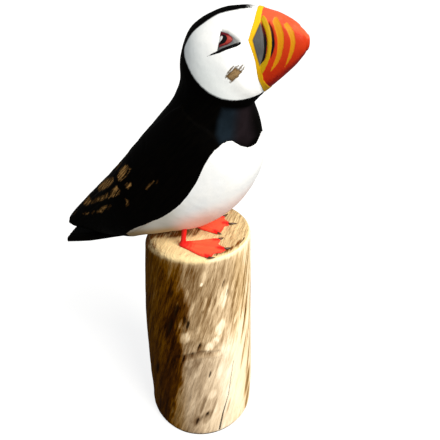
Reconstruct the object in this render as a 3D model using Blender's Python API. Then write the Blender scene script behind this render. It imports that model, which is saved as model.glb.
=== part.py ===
"""A carved and painted Atlantic puffin standing on a peeled log.

Metres, +Z up.  The origin is the centre of the log's foot, the bird faces +X and its median plane is y = 0.
The bird is one loft through planar sections, from the wing tips over trunk, neck and head to the bill's tip.
The loft is parted, by flat caps and by cutters shaped like the carving's own outlines, into the pieces that
a person would name.  A thin gap separates neighbours.
"""

import math

import bmesh
import bpy
from mathutils import Vector

MM = 0.001

# Driving dimensions
LOG_HEIGHT = 208 * MM
LOG_FOOT_RADIUS = 49 * MM
LOG_TOP_RADIUS = 43.5 * MM
LOG_SWELL = 1.6 * MM  # how much fuller the stem is above its middle
LOG_LEAN = 4 * MM  # the top's centre stands this far to the bird's left of the foot's centre
LOG_TOP_BEVEL = 4.5 * MM
LOG_FOOT_ROUND = 7 * MM
LOG_SIDES = 48
LOG_LEVELS = 9

GAP = 0.35 * MM  # between touching pieces
RING_POINTS = 32
RINGS_PER_SECTION = 3

WING_RELIEF = 1.2 * MM  # how far a folded wing stands proud of the flank
EYE_RELIEF = 0.7 * MM
TAIL_THICKNESS = 6 * MM
LEG_RADIUS = 2.1 * MM
LEG_LENGTH = 12 * MM  # from the foot up to the belly
LEG_SOCKET = 7 * MM
FOOT_THICKNESS = 1.6 * MM
CLAW_THICKNESS = 1.0 * MM

# Each section of the carving: the point on its back and the point on its belly, as x and z above the log's
# top, then the half width, all in mm, and how square its sides are (2 is an ellipse).
SECTIONS = (
    ((-116.0, -10.5), (-115.5, -14.5), 2.5, 2.0),  # wing tips
    ((-107.5, -1.0), (-100.5, -13.5), 8.5, 2.0),
    ((-91.5, 19.5), (-81.5, -12.5), 17.5, 2.1),
    ((-76.0, 38.0), (-65.0, -9.5), 26.0, 2.3),  # rump
    ((-64.0, 52.5), (-48.5, -5.5), 32.5, 2.4),
    ((-54.5, 65.0), (-36.5, 1.6), 36.5, 2.4),
    ((-43.0, 79.5), (-13.0, 5.3), 38.5, 2.2),
    ((-31.5, 92.5), (12.5, 14.3), 39.0, 2.1),  # belly
    ((-22.5, 103.0), (37.0, 37.0), 38.5, 2.1),
    ((-16.0, 111.5), (51.0, 68.5), 35.5, 2.1),  # breast
    ((-11.5, 120.0), (49.5, 96.0), 28.5, 2.0),  # foot of the neck
    ((-8.0, 130.0), (43.0, 112.8), 26.5, 2.0),  # nape and throat
    ((-7.0, 146.5), (44.6, 117.0), 27.5, 2.0),
    ((0.2, 164.0), (46.5, 119.5), 26.5, 2.0),
    ((17.2, 175.3), (48.0, 121.5), 24.5, 2.0),  # crown and chin
    ((31.5, 178.7), (49.5, 123.0), 19.5, 2.0),
    ((43.0, 179.0), (51.4, 124.8), 14.5, 2.1),  # root of the bill
    ((54.3, 175.9), (57.2, 131.5), 12.0, 2.2),
    ((64.0, 170.8), (66.3, 142.5), 9.0, 2.2),
    ((71.0, 166.3), (73.6, 152.5), 6.0, 2.1),
    ((77.4, 161.3), (77.0, 158.5), 2.0, 2.0),  # tip of the bill
)
WING_TIPS, RUMP, NECK_FOOT, NAPE, BILL_ROOT, BILL_TIP = 0, 3, 10, 11.4, 16, 20

# Outlines in side view, as x and z above the log's top, in mm.
WING_LINE = (  # a folded wing, from its shoulder back to its tip: x, its lower edge and its upper limit
    (26.8, 93.5, 96.5), (24.0, 89.5, 101.5), (18.0, 79.5, 106.0), (10.0, 66.5, 109.0), (1.5, 54.5, 114.0),
    (-11.0, 39.5, 126.0), (-24.5, 27.0, 140.0), (-42.0, 11.5, 140.0), (-60.0, -1.0, 140.0),
    (-84.0, -11.0, 120.0), (-100.0, -15.5, 90.0), (-121.0, -19.0, 60.0),
)
WING_SHOULDER_INSET, WING_RUMP_INSET = 27.0, 0.3  # from the median plane in to the wing, in mm
FACE_CENTRE, FACE_RADII = (36, 160), (36.3, 36)  # the ellipse that bounds the white face behind and below
FACE_FRONT = 53.5
CROWN_HALF_WIDTH, CROWN_SPREAD = 0.4, 0.25  # half the black crown at the front, in mm, and its growth per mm
EYE_CORNERS = ((36.2, 160.2), (26.8, 167.4), (23.4, 156.6))
EYE_DEPTH = 13.0  # from the median plane in to the back of the eye, in mm
BILL_CHEVRON = ((45.5, 188), (43.4, 177), (41.2, 161), (48.6, 138), (54.5, 117))
BILL_BAND = 3.0  # the width of the yellow band behind the bill, in mm
PLATE_CORNERS = ((47.2, 171.5), (44.6, 161.2), (51.0, 144.5))
PLATE_BULGE = 3.2  # how far the plate's front edge bows out, in mm
PLATE_DEPTH = 4.0
MANTLE_FOOT = ((42, 104), (-90, -6))  # the line between the mantle and the belly

# The tail board: x, height of its middle above the log's top and half width, in mm.
TAIL_STATIONS = ((-52, -3.0, 13.5), (-70, -9.3, 13.5), (-94, -18.2, 13.0), (-117, -24.0, 12.0))

# A foot seen from above: toe lengths in mm from the heel and their angles in degrees, positive outwards.
TOES = (("inner", 29.5, -31), ("middle", 33.0, -11), ("outer", 26.0, 15))
WEB_REACH = 0.87  # how far out the web's edge lies between two toes, as a share of their length
TOE_HALF_WIDTH = 1.7
CLAW_LENGTH = 5.5
HEELS = {"right": (-3.5, -25.0), "left": (-8.0, 17.0)}  # x and y on the log's top, in mm
SIDES = (("right", -1), ("left", 1))


def clear_scene():
    for obj in list(bpy.data.objects):
        bpy.data.objects.remove(obj, do_unlink=True)


def paint(name, colour, roughness):
    made = bpy.data.materials.new(name)
    made.use_nodes = True
    shader = made.node_tree.nodes["Principled BSDF"]
    shader.inputs["Base Color"].default_value = (*colour, 1)
    shader.inputs["Roughness"].default_value = roughness
    shader.inputs["Metallic"].default_value = 0
    made.diffuse_color = (*colour, 1)
    return made


# Curves


def through(values, at):
    """The smooth curve through a row of numbers, at a place counted in rows."""
    row = min(int(at), len(values) - 2)
    share = at - row
    here, after = values[row], values[row + 1]
    before = values[row - 1] if row else 2 * here - after
    later = values[row + 2] if row + 2 < len(values) else 2 * after - here
    slope_here, slope_after = (after - before) / 2, (later - here) / 2
    square, cube = share * share, share**3
    return (
        (2 * cube - 3 * square + 1) * here
        + (cube - 2 * square + share) * slope_here
        + (3 * square - 2 * cube) * after
        + (cube - square) * slope_after
    )


def bowed_line(start, end, bulge, steps):
    """A shallow arc from start to end that stands bulge to the right of the straight line."""
    (x0, z0), (x1, z1) = start, end
    length = math.hypot(x1 - x0, z1 - z0)
    right = ((z1 - z0) / length, -(x1 - x0) / length)
    line = []
    for i in range(steps + 1):
        t = i / steps
        out = bulge * 4 * t * (1 - t)
        line.append((x0 + (x1 - x0) * t + right[0] * out, z0 + (z1 - z0) * t + right[1] * out))
    return line


def widened(outline, distance):
    """The closed outline with every side moved outwards by distance."""
    area = sum(a[0] * b[1] - b[0] * a[1] for a, b in zip(outline, outline[1:] + outline[:1]))
    turn = math.copysign(1, area)
    moved = []
    for i, here in enumerate(outline):
        before, after = outline[i - 1], outline[(i + 1) % len(outline)]
        normals = []
        for a, b in ((before, here), (here, after)):
            side = Vector((b[1] - a[1], a[0] - b[0])).normalized() * turn
            normals.append(side)
        mitre = (normals[0] + normals[1]).normalized()
        reach = distance / max(0.4, mitre.dot(normals[0]))
        moved.append((here[0] + mitre.x * reach, here[1] + mitre.y * reach))
    return moved


# Solids


def new_object(name, mesh, material=None):
    obj = bpy.data.objects.new(name, mesh)
    bpy.context.scene.collection.objects.link(obj)
    if material:
        mesh.materials.append(material)
    return obj


def hide(cutter):
    cutter.hide_render = True
    cutter.display_type = "WIRE"
    return cutter


def loft(name, rings, material=None, sharp=35):
    """A closed solid through rings of equally many points, capped at both ends."""
    bm = bmesh.new()
    loops = [[bm.verts.new(point) for point in ring] for ring in rings]
    for low, high in zip(loops, loops[1:]):
        for i, vert in enumerate(low):
            j = (i + 1) % len(low)
            bm.faces.new((vert, low[j], high[j], high[i]))
    bm.faces.new(reversed(loops[0]))
    bm.faces.new(loops[-1])
    bmesh.ops.recalc_face_normals(bm, faces=bm.faces)
    mesh = bpy.data.meshes.new(name)
    bm.to_mesh(mesh)
    bm.free()
    mesh.shade_smooth()
    mesh.set_sharp_from_angle(angle=math.radians(sharp))
    return new_object(name, mesh, material)


def in_place(x, y, z):
    """A point given in mm, with z above the log's top."""
    return Vector((x * MM, y * MM, z * MM + LOG_HEIGHT))


def side_cutter(name, outline, near, far):
    """A cutter with a side-view outline, reaching across the bird from y = near to y = far, in mm."""
    return hide(loft(name, [[in_place(x, y, z) for x, z in outline] for y in (near, far)]))


def station_cutter(name, stations, far, side):
    """A cutter through upright rectangles at stations of x, lower z, upper z and nearness to the median."""
    rings = []
    for x, low, high, inset in stations:
        corners = ((inset, low), (far, low), (far, high), (inset, high))
        rings.append([in_place(x, side * y, z) for y, z in corners])
    return hide(loft(name, rings))


def cut(obj, operation, *cutters):
    for cutter in cutters:
        step = obj.modifiers.new(cutter.name, "BOOLEAN")
        step.operation = operation
        step.solver = "EXACT"
        step.object = cutter
    return obj


# The bird's body


def section_at(at):
    """Back point, belly point, half width and squareness of the carving at a place counted in sections."""
    numbers = [[s[0][0], s[0][1], s[1][0], s[1][1], s[2], s[3]] for s in SECTIONS]
    back_x, back_z, belly_x, belly_z, half_width, squareness = (
        through([row[k] for row in numbers], at) for k in range(6)
    )
    top = Vector((0, 0, LOG_HEIGHT))
    back = Vector((back_x, 0, back_z)) * MM + top
    belly = Vector((belly_x, 0, belly_z)) * MM + top
    return back, belly, half_width * MM, squareness


def ring_at(at, grow=0.0, shift=0.0):
    """The ring of one section, swollen by grow and moved by shift towards the bill."""
    back, belly, half_width, squareness = section_at(at)
    centre = (back + belly) / 2
    up = (back - belly) / 2
    along = Vector((up.z, 0, -up.x)).normalized()
    high = up.length + grow
    up.normalize()
    ring = []
    for i in range(RING_POINTS):
        turn = 2 * math.pi * i / RING_POINTS
        c, s = math.cos(turn), math.sin(turn)
        lift = math.copysign(abs(c) ** (2 / squareness), c) * high
        side = math.copysign(abs(s) ** (2 / squareness), s) * (half_width + grow)
        ring.append(centre + up * lift + Vector((0, side, 0)) + along * shift)
    return ring


def body_between(name, first, last, material=None, grow=0.0):
    """The stretch of the carving between two places, held back by half a gap where it meets a neighbour."""
    steps = max(2, round((last - first) * RINGS_PER_SECTION))
    rings = []
    for i in range(steps + 1):
        at = first + (last - first) * i / steps
        start_gap = GAP / 2 if i == 0 and first > WING_TIPS else 0
        end_gap = GAP / 2 if i == steps and last < BILL_TIP else 0
        rings.append(ring_at(at, grow, start_gap - end_gap))
    return loft(name, rings, material)


def wing_stations(margin=0.0):
    """Stations of the wing's mould, or of its socket when there is a margin."""
    steps = 3
    rows = []
    for i in range((len(WING_LINE) - 1) * steps + 1):
        rows.append([through([w[k] for w in WING_LINE], i / steps) for k in range(3)])
    shoulder, rump = WING_LINE[0][0], -84.0
    stations = []
    for i, (x, low, high) in enumerate(rows):
        before, after = rows[max(0, i - 1)], rows[min(len(rows) - 1, i + 1)]
        run = before[0] - after[0]
        low_margin = margin * math.hypot(1, (before[1] - after[1]) / run)
        high_margin = margin * math.hypot(1, (before[2] - after[2]) / run)
        share = min(1, max(0, (x - rump) / (shoulder - rump)))
        inset = WING_RUMP_INSET + (WING_SHOULDER_INSET - WING_RUMP_INSET) * share
        stations.append((x, low - low_margin, high + high_margin, inset - margin / 2))
    if margin:
        x, low, high, inset = stations[0]
        stations.insert(0, (x + margin, low, high, inset))
    return stations


def face_stations(margin=0.0):
    """Stations of the white face's mould, or of its socket when there is a margin."""
    (cx, cz), (rx, rz) = FACE_CENTRE, FACE_RADII
    stations = []
    for i in range(16):
        turn = math.radians(173 - i * 7.6)
        x = cx + (rx + margin) * math.cos(turn)
        low = cz - (rz + margin) * math.sin(turn)
        high = cz + (rz + margin) * math.sin(turn) if x < 20 else cz + 36
        if x < FACE_FRONT:
            stations.append((x, low, high))
    stations.append((FACE_FRONT + margin, low, high))
    return [(x, low, high, CROWN_HALF_WIDTH + CROWN_SPREAD * (FACE_FRONT - x) - margin / 2)
            for x, low, high in stations]


def chevron(shift):
    """The line behind the bill, moved forwards."""
    return [(x + shift, z) for x, z in BILL_CHEVRON]


def plate_outline():
    top, back, foot = PLATE_CORNERS
    return [back] + bowed_line(foot, top, PLATE_BULGE, 6)


def tail_rings(grow=0.0):
    """Rings of the tail board, which is flat with rounded edges and ends square."""
    rings = []
    last = 2 * (len(TAIL_STATIONS) - 1)
    for i in range(last + 1):
        x, z, half_width = (through([s[k] for s in TAIL_STATIONS], i / 2) for k in range(3))
        thick = TAIL_THICKNESS / 2 * (1.25 - 0.5 * i / last) + grow
        end = grow if i == 0 else -grow if i == last else 0
        centre = in_place(x, 0, z) + Vector((end, 0, 0))
        ring = []
        for k in range(20):
            turn = 2 * math.pi * k / 20
            c, s = math.cos(turn), math.sin(turn)
            side = math.copysign(abs(c) ** 0.45, c) * (half_width * MM + grow)
            lift = math.copysign(abs(s) ** 0.7, s) * thick
            ring.append(centre + Vector((0, side, lift)))
        rings.append(ring)
    return rings


def build_body(colours):
    """All pieces of the bird above its legs."""
    gap = GAP / MM
    wing_sockets, face_sockets, plate_sockets, leg_sockets = [], [], [], []
    for name, side in SIDES:
        wing_sockets.append(station_cutter("wing_socket_" + name, wing_stations(gap), 71, side))
        face_sockets.append(station_cutter("face_socket_" + name, face_stations(gap), 51, side))
        reach = (side * (PLATE_DEPTH - gap), side * 31)
        plate_sockets.append(side_cutter("plate_socket_" + name, widened(plate_outline(), gap), *reach))
        leg_sockets.append(hide(leg_rod("leg_socket_" + name, GAP)))
    tail_socket = hide(loft("tail_socket", tail_rings(GAP)))
    front, rear = MANTLE_FOOT
    above_foot = [front, rear, (-120, 60), (20, 150)]
    below_foot = [front, rear, (-120, -60), (90, -60), (90, 104)]
    mantle_mould = side_cutter("mantle_mould", above_foot, -60, 60)
    belly_mould = side_cutter("belly_mould", [(x, z - 1.3 * gap) for x, z in below_foot], -60, 60)
    head_mould = side_cutter("head_mould", chevron(0) + [(-60, 117), (-60, 188)], -60, 60)
    band = chevron(gap) + list(reversed(chevron(BILL_BAND)))
    band_mould = side_cutter("band_mould", band, -60, 60)
    bill_mould = side_cutter("bill_mould", chevron(BILL_BAND + gap) + [(95, 117), (95, 188)], -60, 60)

    mantle = body_between("mantle", RUMP, NECK_FOOT, colours["black"])
    cut(mantle, "INTERSECT", mantle_mould)
    cut(mantle, "DIFFERENCE", *wing_sockets, tail_socket)
    belly = body_between("breast_and_belly", RUMP, NECK_FOOT, colours["white"])
    cut(belly, "INTERSECT", belly_mould)
    cut(belly, "DIFFERENCE", *wing_sockets, tail_socket, *leg_sockets)
    neck = body_between("neck", NECK_FOOT, NAPE, colours["black"])
    cut(neck, "DIFFERENCE", *wing_sockets)
    head = body_between("head", NAPE, BILL_ROOT + 1, colours["black"])
    cut(head, "INTERSECT", head_mould)
    cut(head, "DIFFERENCE", *face_sockets)
    for name, side in SIDES:
        wing_mould = station_cutter("wing_mould_" + name, wing_stations(), 70, side)
        face_mould = station_cutter("face_mould_" + name, face_stations(), 50, side)
        reach = (side * EYE_DEPTH, side * 40)
        eye_mould = side_cutter("eye_mould_" + name, list(EYE_CORNERS), *reach)
        reach = (side * (EYE_DEPTH - gap), side * 41)
        eye_socket = side_cutter("eye_socket_" + name, widened(list(EYE_CORNERS), gap), *reach)
        plate_mould = side_cutter("plate_mould_" + name, plate_outline(), side * PLATE_DEPTH, side * 30)
        wing = body_between("wing_" + name, WING_TIPS, NAPE, colours["black"], WING_RELIEF)
        cut(wing, "INTERSECT", wing_mould)
        cut(wing, "DIFFERENCE", tail_socket)
        face = body_between("face_" + name, NAPE, BILL_ROOT + 1, colours["white"])
        cut(face, "INTERSECT", face_mould, head_mould)
        cut(face, "DIFFERENCE", eye_socket)
        eye = body_between("eye_" + name, NAPE, BILL_ROOT + 1, colours["grey"], EYE_RELIEF)
        cut(eye, "INTERSECT", eye_mould)
        plate = body_between("bill_plate_" + name, BILL_ROOT - 2, BILL_TIP, colours["grey"])
        cut(plate, "INTERSECT", plate_mould)
    root = body_between("bill_root", BILL_ROOT - 2, BILL_TIP, colours["yellow"])
    cut(root, "INTERSECT", band_mould)
    cut(root, "DIFFERENCE", *plate_sockets)
    bill = body_between("bill", BILL_ROOT - 2, BILL_TIP, colours["orange"])
    cut(bill, "INTERSECT", bill_mould)
    cut(bill, "DIFFERENCE", *plate_sockets)
    loft("tail", tail_rings(), colours["black"])


# Legs and feet


def leg_rod(name, grow=0.0, material=None):
    """A round leg from the top of the foot up into the belly; the name ends in right or left."""
    x, y = HEELS[name.split("_")[-1]]
    foot = in_place(x, y, 0) + Vector((0, 0, 2 * GAP + FOOT_THICKNESS))
    top = foot + Vector((0, 0, LEG_LENGTH + LEG_SOCKET + grow))
    rings = []
    for centre in (foot, top):
        turns = [2 * math.pi * i / 16 for i in range(16)]
        reach = LEG_RADIUS + grow
        rings.append([centre + Vector((reach * math.cos(t), reach * math.sin(t), 0)) for t in turns])
    return loft(name, rings, material)


def flat_plate(name, outline, thickness, material):
    """A flat piece that lies on the log's top, from a plan outline."""
    low = LOG_HEIGHT + GAP
    return loft(name, [[Vector((x, y, z)) for x, y in outline] for z in (low, low + thickness)], material)


def build_feet(colours):
    for name, side in SIDES:
        heel_x, heel_y = HEELS[name]

        def on_foot(reach, degrees):
            turn = math.radians(degrees)
            return (heel_x + reach * math.cos(turn)) * MM, (heel_y + side * reach * math.sin(turn)) * MM

        outline = [on_foot(3.0, degrees) for degrees in (80, 145, 215, 280)]
        for i, (toe, length, angle) in enumerate(TOES):
            half = math.degrees(math.atan2(TOE_HALF_WIDTH, length))
            outline += [on_foot(length - 1.5, angle - half), on_foot(length, angle - 0.4 * half)]
            outline += [on_foot(length, angle + 0.4 * half), on_foot(length - 1.5, angle + half)]
            if i < len(TOES) - 1:
                _, next_length, next_angle = TOES[i + 1]
                outline.append(on_foot(WEB_REACH * (length + next_length) / 2, (angle + next_angle) / 2))
            claw = []
            start = length + 0.4
            half = math.degrees(math.atan2(0.9, start))
            for reach, share in ((0, -1), (0.7, -0.55), (1, -0.1), (1, 0.1), (0.7, 0.55), (0, 1)):
                claw.append(on_foot(start + reach * CLAW_LENGTH, angle + share * half))
            flat_plate(f"claw_{name}_{toe}", claw, CLAW_THICKNESS, colours["black"])
        flat_plate("foot_" + name, outline, FOOT_THICKNESS, colours["red"])
        leg_rod("leg_" + name, 0.0, colours["red"])


# The log


def log_radius(turn, height):
    """The log's radius at an angle round it and a height, with the swellings of a natural stem."""
    share = height / LOG_HEIGHT
    radius = LOG_FOOT_RADIUS + (LOG_TOP_RADIUS - LOG_FOOT_RADIUS) * share
    radius += LOG_SWELL * math.exp(-(((share - 0.6) / 0.25) ** 2))
    wobble = 0.008 * math.sin(2 * turn + 0.8 + 1.6 * share) + 0.006 * math.sin(3 * turn - 0.5 + 2.5 * share)
    return radius * (1 + wobble * (1 - 0.6 * share))


def build_log(colours):
    """The stem from foot to top: each level is a height and how far the edge is drawn in there."""
    levels = [(0.0, 0.75 * LOG_FOOT_ROUND), (0.12 * LOG_FOOT_ROUND, 0.45 * LOG_FOOT_ROUND)]
    levels += [(0.45 * LOG_FOOT_ROUND, 0.12 * LOG_FOOT_ROUND), (LOG_FOOT_ROUND, 0.0)]
    straight = LOG_HEIGHT - LOG_TOP_BEVEL - LOG_FOOT_ROUND
    levels += [(LOG_FOOT_ROUND + straight * i / LOG_LEVELS, 0.0) for i in range(1, LOG_LEVELS + 1)]
    levels += [(LOG_HEIGHT - 0.3 * LOG_TOP_BEVEL, 0.45 * LOG_TOP_BEVEL), (LOG_HEIGHT, LOG_TOP_BEVEL)]
    rings = []
    for height, inset in levels:
        ring = []
        for i in range(LOG_SIDES):
            turn = 2 * math.pi * i / LOG_SIDES
            radius = log_radius(turn, height) - inset
            lean = LOG_LEAN * height / LOG_HEIGHT
            ring.append(Vector((radius * math.cos(turn), radius * math.sin(turn) + lean, height)))
        rings.append(ring)
    loft("log_post", rings, colours["wood"])


def build():
    clear_scene()
    colours = {
        "black": paint("black_paint", (0.012, 0.012, 0.014), 0.4),
        "white": paint("white_paint", (0.86, 0.86, 0.84), 0.5),
        "orange": paint("bill_orange", (0.85, 0.16, 0.04), 0.45),
        "yellow": paint("bill_yellow", (0.85, 0.60, 0.03), 0.45),
        "grey": paint("slate_grey", (0.13, 0.13, 0.14), 0.5),
        "red": paint("foot_red", (0.85, 0.10, 0.05), 0.5),
        "wood": paint("log_wood", (0.62, 0.45, 0.27), 0.8),
    }
    build_log(colours)
    build_body(colours)
    build_feet(colours)


build()
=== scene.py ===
import math

import bpy
import numpy as np
from mathutils import Matrix, Vector
from mathutils.bvhtree import BVHTree


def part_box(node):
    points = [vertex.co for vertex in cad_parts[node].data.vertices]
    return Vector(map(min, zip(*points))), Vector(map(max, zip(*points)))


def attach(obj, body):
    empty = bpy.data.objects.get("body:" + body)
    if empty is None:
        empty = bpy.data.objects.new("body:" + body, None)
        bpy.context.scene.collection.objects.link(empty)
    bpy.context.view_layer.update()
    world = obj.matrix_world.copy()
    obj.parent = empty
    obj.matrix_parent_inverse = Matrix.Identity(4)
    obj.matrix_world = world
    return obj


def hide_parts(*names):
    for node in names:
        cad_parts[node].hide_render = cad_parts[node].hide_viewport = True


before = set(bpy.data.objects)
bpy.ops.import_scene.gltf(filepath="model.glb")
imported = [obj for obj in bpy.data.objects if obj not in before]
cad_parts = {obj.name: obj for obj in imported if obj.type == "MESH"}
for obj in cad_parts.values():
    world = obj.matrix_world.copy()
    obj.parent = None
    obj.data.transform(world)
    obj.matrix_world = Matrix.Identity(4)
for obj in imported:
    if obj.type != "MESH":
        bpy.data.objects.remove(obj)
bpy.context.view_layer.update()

mm = 0.001
logFoot, logTop = (corner.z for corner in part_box("log_post"))
scene = bpy.context.scene
print("frame loaded:", len(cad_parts), "solids")


# Numbers and curves


def colourOf(*parts):  # red, green and blue from 0 to 255, as a painter's chart gives them
    parts = [c / 255 for c in parts]
    return tuple(c / 12.92 if c <= 0.04045 else ((c + 0.055) / 1.055) ** 2.4 for c in parts) + (1.0,)


def coloursOf(chart):
    return {name: colourOf(*parts) for name, parts in chart.items()}


def eased(value, low, high):  # 0 below low, 1 above high, smooth between
    share = np.clip((value - low) / (high - low), 0, 1)
    return share * share * (3 - 2 * share)


def faded(value, low, high):  # the other way round
    return 1 - eased(value, low, high)


def hump(value, reach, middle=0):  # 1 in the middle, dying away smoothly
    return np.exp(-(((value - middle) / reach) ** 2))


def rounded(wave, power):  # a sine or cosine made fuller, with its sign kept
    return np.sign(wave) * np.abs(wave) ** power


def fullTurn(count):  # even angles once round
    return 2 * math.pi * np.arange(count) / count


def throughRows(rows, at):  # the smooth curve through rows of numbers, at places counted in rows
    rows = np.asarray(rows, float)
    at = np.asarray(at, float)
    row = np.clip(at.astype(int), 0, len(rows) - 2)
    share = (at - row)[..., None]
    padded = np.vstack([2 * rows[0] - rows[1], rows, 2 * rows[-1] - rows[-2]])
    before, here, after, later = (padded[row + k] for k in range(4))
    square, cube = share**2, share**3
    return (
        (2 * cube - 3 * square + 1) * here
        + (cube - 2 * square + share) * (after - before) / 2
        + (3 * square - 2 * cube) * after
        + (cube - square) * (later - here) / 2
    )


def softOutline(outline, sharp=(), steps=6):  # a closed outline bent smoothly, but for its sharp corners
    points = np.asarray(outline, float)
    count = len(points)
    bent = []
    for i in range(count):
        here, after = points[i], points[(i + 1) % count]
        before = 2 * here - after if i in sharp else points[i - 1]
        later = 2 * after - here if (i + 1) % count in sharp else points[(i + 2) % count]
        for k in range(steps):
            bent.append(throughRows([before, here, after, later], 1 + k / steps))
    return np.array(bent)


def evenly(outline, count):  # even steps along a closed outline
    closed = np.vstack([outline, outline[:1]])
    lengths = np.concatenate([[0], np.cumsum(np.linalg.norm(np.diff(closed, axis=0), axis=1))])
    place = np.linspace(0, lengths[-1], count, endpoint=False)
    return np.stack([np.interp(place, lengths, closed[:, k]) for k in (0, 1)], -1)


def wrapped(degrees):  # from -180 to 180
    return (degrees + 180) % 360 - 180


def besideLine(x, z, dx, dz):  # how far along a straight line from the middle, 0 to 1, and how far off it
    share = np.clip((x * dx + z * dz) / (dx * dx + dz * dz), 0, 1)
    return share, np.hypot(x - share * dx, z - share * dz)


def insideOf(outline, x, z):  # signed distance to a closed outline, positive inside
    corners = np.asarray(outline, float)
    best = np.full(x.shape, 1e9)
    inside = np.zeros(x.shape, bool)
    for (ax, az), (bx, bz) in zip(corners, np.roll(corners, -1, 0)):
        dx, dz = bx - ax, bz - az
        best = np.minimum(best, besideLine(x - ax, z - az, dx, dz)[1])
        if dz:
            inside ^= ((az > z) != (bz > z)) & (x < ax + (z - az) / dz * dx)
    return np.where(inside, best, -best)


def alongStroke(line, x, z):  # inside a brush stroke through points of x, z and half width
    best = np.full(x.shape, -1e9)
    for (ax, az, aw), (bx, bz, bw) in zip(line, line[1:]):
        share, away = besideLine(x - ax, z - az, bx - ax, bz - az)
        best = np.maximum(best, aw + (bw - aw) * share - away)
    return best


def cloud(points, size, seed, octaves=2):  # smooth random values from 0 to 1; size may differ by axis
    table = np.random.default_rng(seed).random((32, 32, 32))
    total, weights = 0.0, 0.0
    for octave in range(octaves):
        place = points / size * 2**octave + 5.37 * octave
        cell = np.floor(place).astype(int)
        share = place - cell
        share = share * share * (3 - 2 * share)
        value = 0.0
        for corner in range(8):
            step = np.array([corner & 1, corner >> 1 & 1, corner >> 2])
            weight = np.prod(np.where(step, share, 1 - share), -1)
            i, j, k = np.moveaxis((cell + step) % 32, -1, 0)
            value = value + table[i, j, k] * weight
        total = total + value * 0.5**octave
        weights += 0.5**octave
    return total / weights


def ripple(*settings):  # the same from -0.5 to 0.5
    return cloud(*settings) - 0.5


# Meshes


def placeInWorld(points):  # mm with z above the log's top, to metres
    return np.asarray(points) * mm + np.array([0, 0, logTop])


def outwardNormals(points):  # of a tube given as rings
    rowStep = np.gradient(points, axis=0)
    columnStep = (np.roll(points, -1, 1) - np.roll(points, 1, 1)) / 2
    normals = np.cross(rowStep, columnStep)
    normals /= np.maximum(np.linalg.norm(normals, axis=-1, keepdims=True), 1e-12)
    away = points - points.mean(axis=1, keepdims=True)
    return normals * np.sign(np.sum(normals * away))


def withEnds(values, before, after):  # the first and last rows again, for rings added at the ends
    return {key: np.concatenate([np.repeat(value[:1], before, 0), value, np.repeat(value[-1:], after, 0)])
            for key, value in values.items()}


def tubePiece(name, points, values=None, vectors=None):
    rows, columns = points.shape[:2]
    ends = np.stack([points[0].mean(0), points[-1].mean(0)])
    flat = np.concatenate([points.reshape(-1, 3), ends])
    r, c = np.meshgrid(np.arange(rows - 1), np.arange(columns), indexing="ij")
    after = (c + 1) % columns
    quads = np.stack([r * columns + c, r * columns + after, (r + 1) * columns + after, (r + 1) * columns + c], -1)
    quads = quads.reshape(-1, 4)
    c, after = c[0], after[0]
    first, last = rows * columns, rows * columns + 1
    low = np.stack([np.full(columns, first), after, c], -1)
    high = np.stack([np.full(columns, last), (rows - 1) * columns + c, (rows - 1) * columns + after], -1)
    a, b, d = (flat[quads[:, k]] for k in (0, 1, 2))
    if np.sum(np.cross(b - a, d - a) * (a - flat.mean(0))) < 0:
        quads, low, high = quads[:, ::-1], low[:, ::-1], high[:, ::-1]
    mesh = bpy.data.meshes.new(name)
    mesh.from_pydata(flat.tolist(), [], quads.tolist() + low.tolist() + high.tolist())
    mesh.shade_smooth()
    for key, value in (values or {}).items():
        value = np.broadcast_to(value, (rows, columns))
        data = np.concatenate([value.ravel(), [value[0].mean(), value[-1].mean()]]).astype(np.float32)
        mesh.attributes.new(key, "FLOAT", "POINT").data.foreach_set("value", data)
    for key, value in (vectors or {}).items():
        data = np.concatenate([value.reshape(-1, 3), [value[0].mean(0), value[-1].mean(0)]]).astype(np.float32)
        mesh.attributes.new(key, "FLOAT_VECTOR", "POINT").data.foreach_set("vector", data.ravel())
    mesh.validate()
    piece = bpy.data.objects.new(name, mesh)
    scene.collection.objects.link(piece)
    return piece


def settle(piece, slotName, material, *nodes):  # a finished piece takes its solids' place
    piece.data.materials.clear()
    piece.data.materials.append(material)
    if nodes:
        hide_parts(*nodes)
    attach(piece, "root")
    return piece


# Shader tools


def newMaterial(name):
    material = bpy.data.materials.new(name)
    material.use_nodes = True
    return material, material.node_tree


def fieldOf(tree, name, kind="Fac"):  # a value painted on the mesh
    return addNode(tree, "Attribute", attribute_name=name).outputs[kind]


def fillSockets(tree, node, inputs):  # text stands for a value painted on the mesh
    for key, value in inputs.items():
        value = fieldOf(tree, value) if isinstance(value, str) else value
        if hasattr(value, "is_output"):
            tree.links.new(value, node.inputs[key])
        else:
            node.inputs[key].default_value = value


def addNode(tree, kind, inputs=None, **settings):
    node = tree.nodes.new("ShaderNode" + kind)
    for key, value in settings.items():
        setattr(node, key, value)
    fillSockets(tree, node, inputs or {})
    return node


def mathOf(tree, operation, *terms):
    return addNode(tree, "Math", dict(enumerate(terms)), operation=operation).outputs[0]


def plus(tree, first, second):
    return mathOf(tree, "ADD", first, second)


def minus(tree, first, second):
    return mathOf(tree, "SUBTRACT", first, second)


def times(tree, first, second):
    return mathOf(tree, "MULTIPLY", first, second)


def timesPlus(tree, first, second, third):
    return mathOf(tree, "MULTIPLY_ADD", first, second, third)


def larger(tree, first, second):
    return mathOf(tree, "MAXIMUM", first, second)


def restOf(tree, share):
    return minus(tree, 1, share)


def evenOut(tree, tone):  # a tone from 0 to 1 becomes one from -0.5 to 0.5
    return minus(tree, tone, 0.5)


def blendOf(tree, share, first, second):
    return addNode(tree, "Mix", {0: share, 6: first, 7: second}, data_type="RGBA").outputs[2]


def betweenOf(tree, share, first, second):  # the same for two numbers
    return plus(tree, times(tree, first, restOf(tree, share)), times(tree, second, share))


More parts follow.
